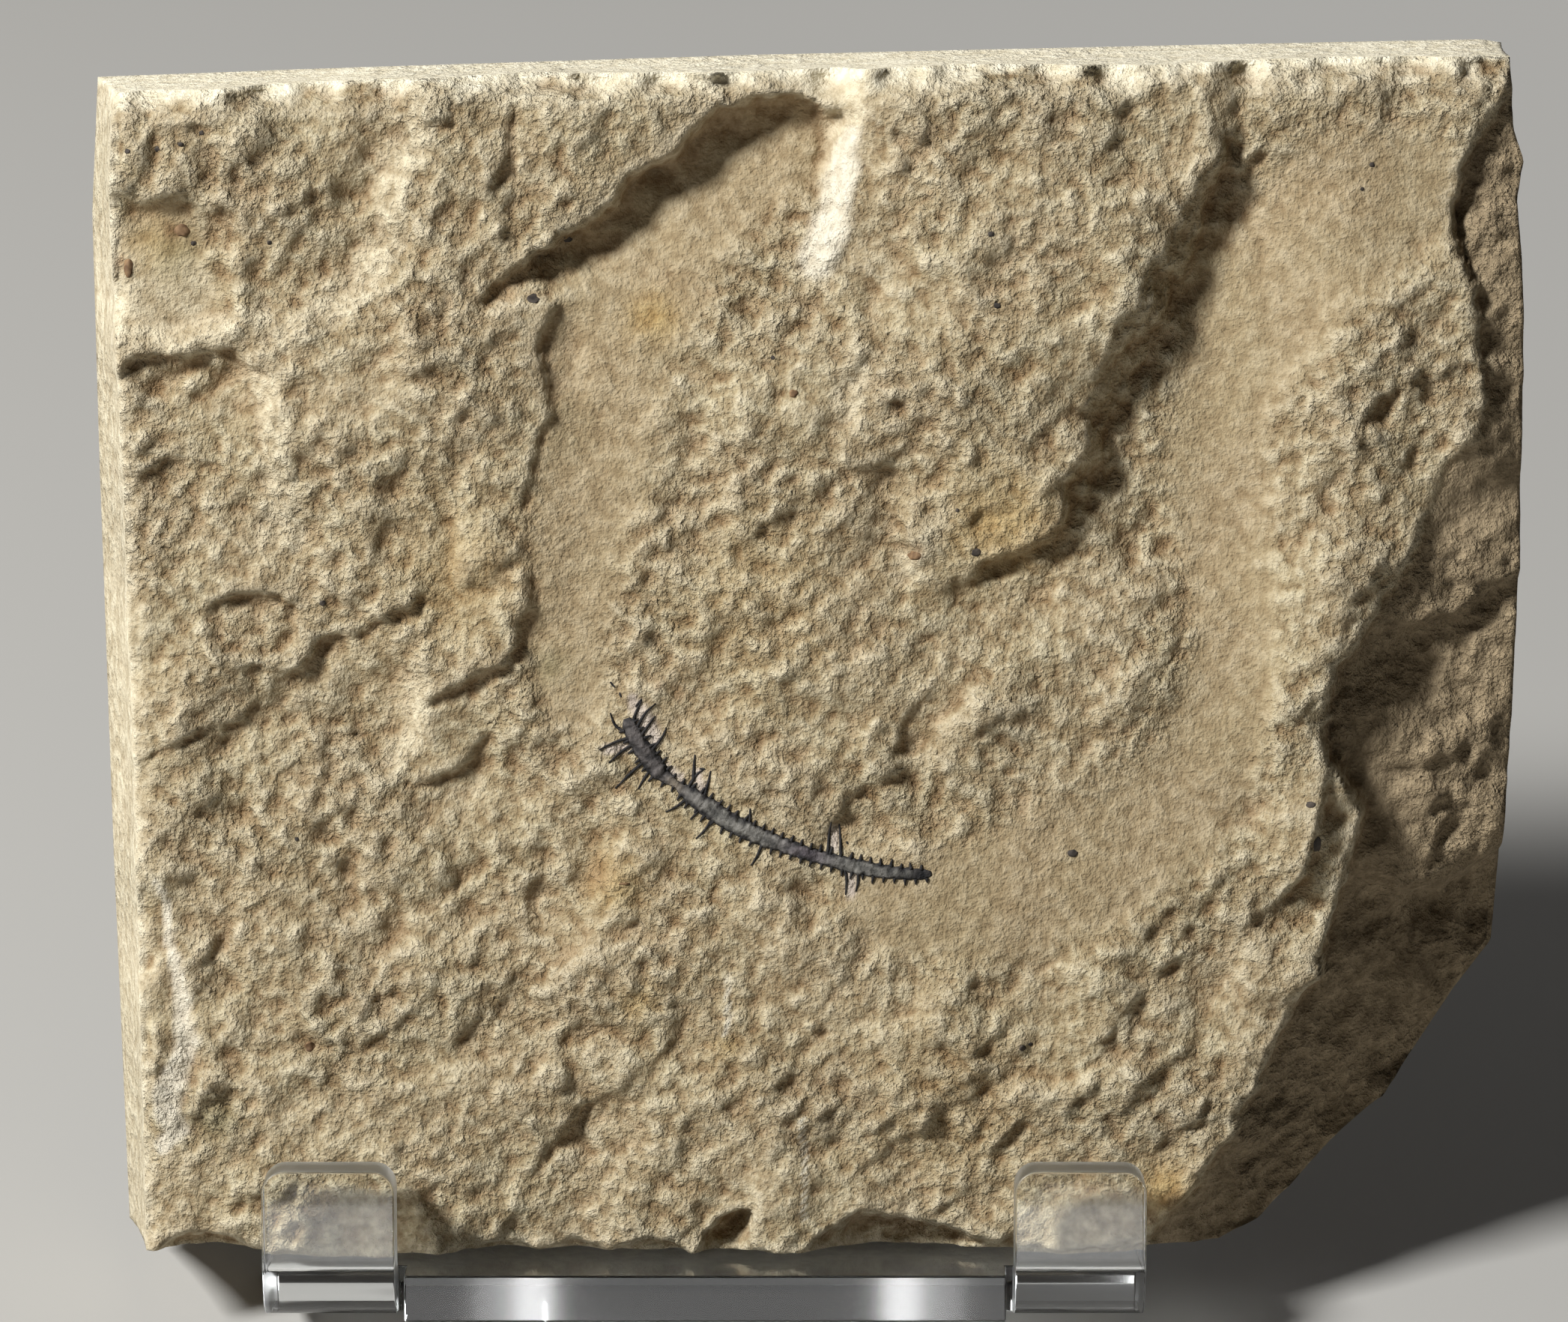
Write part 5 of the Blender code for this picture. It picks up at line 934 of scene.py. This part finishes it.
def store_masks(item, masks):
    """Keep a value for each vertex under each mask's name, for the material to read."""
    for name, share in masks.items():
        layer = item.data.attributes.new(name, "FLOAT", "POINT")
        layer.data.foreach_set("value", share.astype(np.float32))


def make_slab():
    slab = finish_shape("stone_slab", slab_shape(), [limestone_material()], leaning_frame())
    store_masks(slab, stone_masks(slab.data, mesh_places(slab)))
    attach(slab, "root")
    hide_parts("limestone_slab")


def add_speck(shape, spot, seed):
    """Add one ragged, flattened crumb, half sunk in the face."""
    centre_u, centre_v, length, width = spot
    crumb = bmesh.new()
    bmesh.ops.create_icosphere(crumb, subdivisions=SPECK_SUBDIVISIONS, radius=1.0)
    for vertex in crumb.verts:
        place = vertex.co * SPECK_LUMPINESS + Vector((seed, 0.0, 0.0))
        vertex.co *= 1.0 + SPECK_RAGGEDNESS * noise.noise(place)
        vertex.co.x = centre_u + vertex.co.x * length / 2.0
        vertex.co.y = centre_v + vertex.co.y * width / 2.0
        vertex.co.z *= min(length, width) / 2.0
    add_laid(shape, crumb, SPECK_FLATNESS, 0.0)


def add_laid(shape, part, flatness, rise):
    """Lay a part on the face and add it to a shape."""
    lay_on_face(part, flatness, rise)
    mesh = bpy.data.meshes.new("laid_part")
    part.to_mesh(mesh)
    part.free()
    shape.from_mesh(mesh)
    bpy.data.meshes.remove(mesh)


def make_specks(name, spots, tones, seed):
    shape = bmesh.new()
    for number, spot in enumerate(spots):
        add_speck(shape, spot, seed + SPECK_SEED_STEP * number)
    look = plain_material(name + "_look", CRUMB_SURFACE, CRUMB_NOISE, tones)
    specks = finish_shape(name, shape, [look], leaning_frame())
    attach(specks, "root")
    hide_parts("limestone_slab")


def painted_lit_slopes(u, v):
    """1 on the slopes below the ledges that face the light, painted pale as painted light."""
    share = np.zeros(len(u))
    for name, reach in CREAM_LEDGES:
        distance, is_low, drop = line_field(u, v, LEDGES[name][-1])
        past = (distance / reach - CREAM_EDGE[0]) / CREAM_EDGE[1]
        inside = (1.0 - smooth_step(past)) * smooth_step(drop)
        share = np.maximum(share, np.where(is_low, inside, 0.0))
    return share


def sawn_share(u, v):
    """1 on the chalky sawn sides and the margin of the face beside them, strongest at the top as painted
    light.
    """
    share = np.zeros(len(u))
    varied = SAWN_MARGIN_SHARE + SAWN_VARIATION * noise_layer(u, v, *SAWN_NOISE)
    for line, margin, strength in SAWN_EDGES:
        distance, is_inside, _ = line_field(u, v, line)
        past = np.where(is_inside, distance, 0.0) / np.maximum(margin * varied, SAWN_LEAST_MARGIN)
        share = np.maximum(share, strength * (1.0 - smooth_step(past)))
    return share


def dents(mesh, place, passes):
    """How far each vertex lies below the average of its surroundings, in millimetres."""
    ends = np.empty(len(mesh.edges) * 2, dtype=np.int64)
    mesh.edges.foreach_get("vertices", ends)
    first, second = ends.reshape(-1, 2).T
    count = np.bincount(first, minlength=len(place)) + np.bincount(second, minlength=len(place))
    level = place[:, 2].copy()
    for _ in range(passes):
        total = np.bincount(first, level[second], len(place))
        total += np.bincount(second, level[first], len(place))
        level = 0.5 * level + 0.5 * total / count
    return level - place[:, 2]


def stone_masks(mesh, place):
    """Where the stone is smooth, chalky, stained, patinated, hollow or proud; hollows and the flank get
    painted shade, crests, lit slopes and the top painted light.
    """
    u, v, w = place.T
    ragged = shifted(u, v, WANDER)
    is_front = np.where(w > FRONT_LEVEL, 1.0, 0.0)
    distance, is_flank, _ = line_field(u, v, FLANK_EDGE)
    dent = dents(mesh, place, DENT_PASSES) / HOLLOW_DEPTH
    smooth = strokes(*ragged, SMOOTH_GROUND, SMOOTH_EDGE) * is_front
    sawn_chalk_and_light = sawn_share(u, v)
    cream_and_painted_light = np.maximum(painted_lit_slopes(*ragged), strokes(*ragged, CREAM_STROKES))
    calmed = (1.0 - (1.0 - SMOOTH_GRAIN_SHARE) * smooth) * (1.0 - SAWN_SMOOTHNESS * sawn_chalk_and_light)
    return {
        "smooth": smooth,
        "grain": calmed * patchy(u, v),
        # Painted light on lit slopes and ridges, with some pale ground.
        "cream_and_painted_light": CREAM_STRENGTH * cream_and_painted_light * is_front,
        "chalk_and_facet_highlight": CHALK_STRENGTH * strokes(*ragged, CHALK_STROKES) * is_front,
        "ochre": stains(*ragged, OCHRE_STAINS) * is_front,
        "rust": stains(*ragged, RUST_STAINS) * is_front,
        "olive_and_shadow": stains(*ragged, OLIVE_STAINS_AND_SHADOW) * is_front,
        "halo": strokes(u, v, HALO_STROKES) * is_front,
        # Patina and painted shade on the broken flank.
        "flank_patina_and_shade": np.where(is_flank, smooth_step(distance / FLANK_DARKENING_REACH), 0.0),
        "blotch": BLOTCH_STRENGTH * smooth_step(0.5 + noise_layer(*streaked(u, v), *BLOTCH_NOISE)),
        # Painted shade in the hollows, with some dust.
        "hollow": HOLLOW_DUST_AND_SHADE_STRENGTH * smooth_step(dent) * is_front,
        # Painted highlight on the crests.
        "crest_highlight": CREST_HIGHLIGHT_STRENGTH * smooth_step(-dent) * is_front,
        # Chalky sawn sides, with painted light on the top.
        "sawn_chalk_and_light": sawn_chalk_and_light,
    }


def set_inputs(tree, node, inputs):
    """Feed a node's inputs with numbers, colours or other nodes' outputs."""
    for name, value in inputs.items():
        if isinstance(value, bpy.types.NodeSocket):
            tree.links.new(value, node.inputs[name])
        else:
            node.inputs[name].default_value = value


def add_node(tree, kind, output, inputs, **settings):
    """Add a fed node and return one of its outputs."""
    node = tree.nodes.new("ShaderNode" + kind)
    for name, value in settings.items():
        setattr(node, name, value)
    set_inputs(tree, node, inputs)
    return node.outputs[output]


def add_noise(tree, scale, detail, roughness=0.5):
    """Noise over the piece's own coordinates."""
    inputs = {"Vector": add_node(tree, "TexCoord", "Object", {}), "Scale": scale, "Detail": detail,
              "Roughness": roughness}
    return add_node(tree, "TexNoise", "Fac", inputs)


def add_ramp(tree, factor, stops):
    """A colour picked along stops given as (position, colour)."""
    colour_out = add_node(tree, "ValToRGB", "Color", {"Fac": factor})
    ramp = colour_out.node.color_ramp
    while len(ramp.elements) < len(stops):
        ramp.elements.new(0.5)
    for element, (position, colour) in zip(ramp.elements, stops):
        element.position = position
        element.color = (*colour, 1.0)
    return colour_out


def attribute(tree, name):
    return add_node(tree, "Attribute", "Fac", {}, attribute_name=name)


def mix_colour(tree, factor, first, second):
    return add_node(tree, "Mix", "Result", {"Factor": factor, "A": first, "B": second}, data_type="RGBA")


def tinted(tree, colour, tone, tints):
    """A colour with each tint, given as (mask, stops), laid over it where its mask is."""
    for name, stops in tints:
        colour = mix_colour(tree, attribute(tree, name), colour, add_ramp(tree, tone, stops))
    return colour


def add_bump(tree, height, distance, **under):
    """Bump of a height in millimetres, on top of another bump's Normal if one is given."""
    return add_node(tree, "Bump", "Normal", {"Height": height, "Distance": distance * MM, **under})


def new_look(name, inputs):
    """A material, its node tree and its shader with some inputs set."""
    made = bpy.data.materials.new(name)
    made.use_nodes = True
    shader = made.node_tree.nodes["Principled BSDF"]
    set_inputs(made.node_tree, shader, inputs)
    return made, made.node_tree, shader


def plain_material(name, inputs, mottling, tones):
    """A material with its colour mottled by one noise."""
    made, tree, shader = new_look(name, inputs)
    set_inputs(tree, shader, {"Base Color": add_ramp(tree, add_noise(tree, *mottling), tones)})
    return made


def limestone_material():
    """Mottled stone, tinted by its masks, with grain too fine for the mesh."""
    made, tree, shader = new_look("limestone_look", STONE_SURFACE)
    tone = add_noise(tree, *TONE_NOISE)
    rough = add_ramp(tree, tone, ROUGH_TONES)
    colour = tinted(tree, rough, tone, STONE_TINTS)
    grain = add_node(tree, "Math", "Value", {0: tone, 1: attribute(tree, "grain")}, operation="MULTIPLY")
    normal = add_bump(tree, grain, TONE_RELIEF)
    normal = add_bump(tree, add_noise(tree, *GRIT_NOISE), GRIT_RELIEF, Normal=normal)
    set_inputs(tree, shader, {"Base Color": colour, "Normal": normal})
    return made


def tube_shape(points, radii, resolution):
    """A closed round tube along points in the plane of the face."""
    curve = bpy.data.curves.new("tube", "CURVE")
    curve.dimensions = "3D"
    curve.bevel_depth = 1.0
    curve.bevel_resolution = resolution
    curve.use_fill_caps = True
    spline = curve.splines.new("POLY")
    spline.points.add(len(points) - 1)
    for point, place, radius in zip(spline.points, points, radii):
        point.co = (*place, 0.0, 1.0)
        point.radius = radius
    shape = take_shape(add_object("tube", curve))
    bpy.data.curves.remove(curve)
    return shape


def lay_on_face(shape, flatness, rise):
    """Lay a shape made in the plane of the face on the slab's front, flattened."""
    bmesh.ops.remove_doubles(shape, verts=shape.verts, dist=MERGE_DISTANCE)
    place = np.array([vertex.co for vertex in shape.verts])
    ground = face_height(place[:, 0], place[:, 1])
    for vertex, level in zip(shape.verts, ground):
        vertex.co.z = level + vertex.co.z * flatness + rise


def spine_points(step):
    """Points along the spine at an even step, with half widths and the way travelled."""
    length = travelled(SPINE)[-1]
    at = np.linspace(0.0, length, int(round(length / step)) + 1)
    u, v, width = values_at(SPINE, at).T
    return np.stack([u, v], axis=-1), width / 2.0, at


def smoothed(values, count):
    """A run of values with its corners rounded by neighbour averages."""
    for _ in range(count):
        inner = (values[:-2] + values[1:-1] + values[2:]) / 3.0
        values = np.concatenate([values[:1], inner, values[-1:]])
    return values


def worm_body():
    """The flattened, ringed body as a closed tube."""
    place, radii, at = spine_points(SPINE_STEP)
    rings = 1.0 - RING_DEPTH * np.abs(np.cos(math.pi * at / RING_PITCH)) ** RING_SHARPNESS
    ragged = 1.0 + BODY_RAGGEDNESS * noise_layer(at, at, *BODY_NOISE)
    shape = tube_shape(smoothed(place, SPINE_SMOOTHING), radii * rings * ragged, BODY_SIDES)
    lay_on_face(shape, BODY_FLATNESS, BODY_RISE)
    return shape


def add_tube(shape, points, radii, rise):
    """Add one thin tube, rounded along its way and laid on the face."""
    shares = np.linspace(0.0, 1.0, TUBE_POINTS)
    place = smoothed(walk(points, shares), TUBE_SMOOTHING)
    wide = np.interp(shares, np.linspace(0.0, 1.0, len(radii)), radii)
    add_laid(shape, tube_shape(place, wide, TUBE_SIDES), 1.0, rise)


def spike_lines():
    """Short spikes along both flanks of the body, each with its own lean and length."""
    place, radii, at = spine_points(SPIKE_PITCH / 2.0)
    direction = np.gradient(place, axis=0)
    direction /= np.linalg.norm(direction, axis=1)[:, None]
    lines = []
    for number in range(1, len(at) - 1):
        side = 1.0 if number % 2 else -1.0
        lean = SPIKE_LEAN * noise.noise(Vector((at[number], side, SPIKE_LEAN_LAYER)))
        varied = noise.noise(Vector((at[number] * SPIKE_VARIATION_RATE, side, SPIKE_VARIATION_LAYER)))
        length = SPIKE_LENGTH * (SPIKE_LENGTH_SHARE + SPIKE_VARIATION * varied)
        across = Vector((-direction[number, 1], direction[number, 0])) * side
        root = Vector(place[number]) + across * radii[number] * SPIKE_ROOT_SHARE
        reach = length + radii[number] * (1.0 - SPIKE_ROOT_SHARE)
        tip = root + (across + Vector(direction[number]) * lean) * reach
        lines.append([tuple(root), tuple(tip)])
    return lines


def make_worm():
    shape = worm_body()
    for lines, radii, rise in ((BRISTLES, BRISTLE_RADII, BRISTLE_RISE), (SCRAPS, SCRAP_RADII, 0.0),
                               (spike_lines(), SPIKE_RADII, SPIKE_RISE)):
        for points in lines:
            add_tube(shape, points, radii, rise)
    worm = finish_shape("worm_body_and_bristles", shape, [worm_material()], leaning_frame())
    store_masks(worm, worm_masks(*mesh_places(worm)[:, :2].T))
    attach(worm, "root")
    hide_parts("fossil_worm")


def worm_masks(u, v):
    """Where the worm is filled with paler mineral, by head, middle and tail."""
    distance, _, width = line_field(u, v, SPINE)
    from_middle = distance / (width / 2.0)
    ragged = noise_layer(u, v, *FILL_NOISE)
    inner = 1.0 - smooth_step((from_middle - FILL_EDGE + FILL_RAGGEDNESS * ragged) / FILL_EDGE_WIDTH)
    before_tail = 1.0 - smooth_step((u - TAIL_START) / TAIL_FADE)
    fleck = stains(u, v, TAIL_FLECKS)
    return {
        "fill": np.clip(inner * before_tail + fleck * inner, 0.0, 1.0),
        "middle": smooth_step((u - MIDDLE_START) / MIDDLE_FADE),
        "purple": stains(u, v, PURPLE_STAINS),
        "waist": stains(u, v, WAIST_STAINS),
    }


def worm_material():
    """Dark mineral with a paler fill."""
    made, tree, shader = new_look("fossil_look", WORM_SURFACE)
    tone = add_noise(tree, *WORM_NOISE)
    fill = tinted(tree, add_ramp(tree, tone, HEAD_TONES), tone, WORM_TONES)
    edge = add_ramp(tree, tone, EDGE_TONES)
    set_inputs(tree, shader, {"Base Color": mix_colour(tree, attribute(tree, "fill"), edge, fill),
                              "Normal": add_bump(tree, tone, WORM_RELIEF)})
    return made


def stand_point(v, w):
    """World (y, z) in millimetres of a point given up and out of the slab's face."""
    lean = math.radians(LEAN_DEGREES)
    y = SLAB_EDGE_Y + v * math.sin(lean) - w * math.cos(lean)
    z = SLAB_EDGE_Z + v * math.cos(lean) + w * math.sin(lean)
    return Vector((y, z))


def bend(before, corner, after, radius):
    """The arc that rounds one corner of a bent sheet's middle line."""
    to_before = (before - corner).normalized()
    to_after = (after - corner).normalized()
    half = to_before.angle(to_after) / 2.0
    reach = radius / math.tan(half)
    centre = corner + (to_before + to_after).normalized() * (radius / math.sin(half))
    first = corner + to_before * reach - centre
    turn = first.angle_signed(corner + to_after * reach - centre)
    return [centre + Matrix.Rotation(-turn * number / BEND_SEGMENTS, 2) @ first
            for number in range(BEND_SEGMENTS + 1)]


def sheet_strip(shape, columns, path):
    """A strip of sheet: a grid laid with its columns along x and its rows along the path."""
    vertices, index = grid_places(shape, len(columns) - 1, len(path) - 1)
    for vertex, (column, row) in zip(vertices, index):
        vertex.co = Vector((columns[column], *path[row]))


def stand_paths():
    """Middle lines of the sheet's strips, from the lips' tops to the foot of the leg."""
    half = SHEET_THICKNESS / 2.0
    lip_middle = LIP_FRONT_GAP + half
    floor = -GAP - half
    lip_top = stand_point(LIP_HEIGHT, lip_middle)
    front = stand_point(floor, lip_middle)
    shelf_back = stand_point(floor, floor)
    shoulder = stand_point(PLATE_HEIGHT, floor)
    fold = stand_point(FOLD_HEIGHT, floor)
    below_table = SHEET_THICKNESS
    spread = math.tan(math.radians(LEG_SPREAD_DEGREES))
    foot = Vector((fold.x + (fold.y + below_table) * spread, -below_table))
    front_arc = bend(shelf_back, front, lip_top, BEND_RADIUS)
    back_arc = bend(front, shelf_back, shoulder, BEND_RADIUS)
    lips = front_arc + [lip_top]
    flap = [front_arc[0], stand_point(floor, SHELF_FRONT)]
    plate = [front_arc[0]] + back_arc + [shoulder]
    leg = [shoulder] + bend(shoulder, fold, foot, FOLD_RADIUS) + [foot]
    return lips, flap, plate, leg


def round_corners(shape, columns, end, radius):
    """Round the sheet's outline where columns at these x end."""
    for x in columns:
        place = Vector((x, *end))
        near = min(shape.verts, key=lambda vertex: (vertex.co - place).length)
        bmesh.ops.bevel(shape, geom=[near], offset=radius, segments=CORNER_SEGMENTS, profile=0.5,
                        affect="VERTICES")


def stand_sheet():
    lips, flap, plate, leg = stand_paths()
    legs = [LEG_LEFT, LEG_RIGHT]
    inner = [LIP_LEFT_INNER, LIP_RIGHT_INNER]
    outer = [STAND_LEFT, STAND_RIGHT]
    slots = [LIP_LEFT_INNER + SHELF_SLOT, LIP_RIGHT_INNER - SHELF_SLOT]
    shape = bmesh.new()
    sheet_strip(shape, [STAND_LEFT, LIP_LEFT_INNER], lips)
    sheet_strip(shape, [LIP_RIGHT_INNER, STAND_RIGHT], lips)
    sheet_strip(shape, sorted(slots + legs), flap)
    sheet_strip(shape, sorted(outer + inner + slots + legs), plate)
    sheet_strip(shape, legs, leg)
    bmesh.ops.remove_doubles(shape, verts=shape.verts, dist=MERGE_DISTANCE)
    round_corners(shape, sorted(outer + inner), lips[-1], LIP_CORNER_RADIUS)
    round_corners(shape, outer, plate[-1], PLATE_CORNER_RADIUS)
    bmesh.ops.recalc_face_normals(shape, faces=shape.faces)
    return shape


def thickened(shape, looks):
    """The sheet given its thickness and cut flat at the table, with its cut edges in the second look."""
    holder = add_shape("sheet", shape, looks)
    thick = holder.modifiers.new("sheet", "SOLIDIFY")
    thick.thickness = SHEET_THICKNESS
    thick.offset = 0.0
    thick.use_even_offset = True
    thick.material_offset_rim = 1
    solid = take_shape(holder)
    bmesh.ops.bisect_plane(solid, geom=solid.verts[:] + solid.edges[:] + solid.faces[:],
                           dist=CUT_TOLERANCE, plane_co=(0.0, 0.0, 0.0), plane_no=(0.0, 0.0, 1.0),
                           clear_inner=True)
    bmesh.ops.holes_fill(solid, edges=[edge for edge in solid.edges if edge.is_boundary])
    polish_shelf(solid)
    return solid


def polish_shelf(solid):
    """Give the shelf's cut front edge the polished look of the sheet's faces."""
    front = (stand_point(0.0, SHELF_FRONT) - stand_point(0.0, 0.0)).normalized()
    solid.normal_update()
    for face in solid.faces:
        is_between = LIP_LEFT_INNER < face.calc_center_median().x < LIP_RIGHT_INNER
        if is_between and abs(face.normal.yz.dot(front)) > SQUARE_ON:
            face.material_index = 0


def make_stand():
    looks = [plain_material(name, {**ACRYLIC_SURFACE, "Roughness": roughness}, HAZE_NOISE, HAZE_TINTS)
             for name, roughness in (("acrylic_look", SHEET_ROUGHNESS), ("edge_look", EDGE_ROUGHNESS))]
    solid = thickened(stand_sheet(), looks)
    stand = finish_shape("clear_stand", solid, looks, Matrix.Identity(4))
    ease = stand.modifiers.new("eased edges", "BEVEL")
    ease.width = EDGE_ROUNDING * MM
    ease.segments = EDGE_SEGMENTS
    ease.limit_method = "ANGLE"
    ease.angle_limit = math.radians(EDGE_ANGLE_DEGREES)
    ease.harden_normals = True
    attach(stand, "root")
    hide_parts("acrylic_stand")


def make_floor():
    shape = bmesh.new()
    bmesh.ops.create_grid(shape, x_segments=1, y_segments=1, size=FLOOR_METRES)
    floor = add_shape("floor", shape, [new_look("floor_look", FLOOR_SURFACE)[0]])


def add_aimed(name, data, start, target):
    """A light or camera at one point in slab millimetres, looking at another."""
    holder = add_object(name, data)
    holder.location = in_world(start)
    holder.rotation_euler = (in_world(target) - in_world(start)).to_track_quat("-Z", "Y").to_euler()
    return holder


def add_light(name, start, target, width, height, power):
    """A soft rectangular light."""
    light = bpy.data.lights.new(name, "AREA")
    light.shape = "RECTANGLE"
    light.size = width * MM
    light.size_y = height * MM
    light.energy = power
    return add_aimed(name, light, start, target)


def add_lights():
    """The lights on the stone, the cards that only the clear sheet reflects, and the world."""
    target = Vector(LIGHT_TARGET)
    for name, direction, size, power in LIGHTS:
        start = target + Vector(direction).normalized() * LIGHT_DISTANCE
        add_light(name, start, target, size, size, power)
    for name, u, distance, width, height, power in CARDS:
        start = (u, -CARD_DROP, SHELF_FRONT + distance)
        add_light(name, start, (u, 0.0, SHELF_FRONT), width, height, power).visible_diffuse = False
    world = bpy.data.worlds.new("studio")
    bpy.context.scene.world = world
    world.use_nodes = True
    light = {"Color": WORLD_COLOUR, "Strength": WORLD_STRENGTH}
    set_inputs(world.node_tree, world.node_tree.nodes["Background"], light)
    bpy.context.scene.view_settings.view_transform = "Standard"


def add_camera():
    tilt = math.radians(VIEW_TILT_DEGREES)
    target = Vector(VIEW_TARGET)
    start = target + Vector((0.0, math.sin(tilt), math.cos(tilt))) * VIEW_DISTANCE
    camera = bpy.data.cameras.new("camera")
    camera.sensor_fit = "HORIZONTAL"
    camera.sensor_width = SENSOR_WIDTH
    camera.lens = SENSOR_WIDTH * VIEW_SCALE_PIXELS_PER_MM * VIEW_DISTANCE / IMAGE_WIDTH_PIXELS
    camera.clip_start = CLIP_METRES
    bpy.context.scene.camera = add_aimed("camera", camera, start, target)


def main():
    make_slab()
    for kind in SPECK_KINDS:
        make_specks(*kind)
    make_worm()
    make_stand()
    make_floor()
    add_camera()
    add_lights()


main()
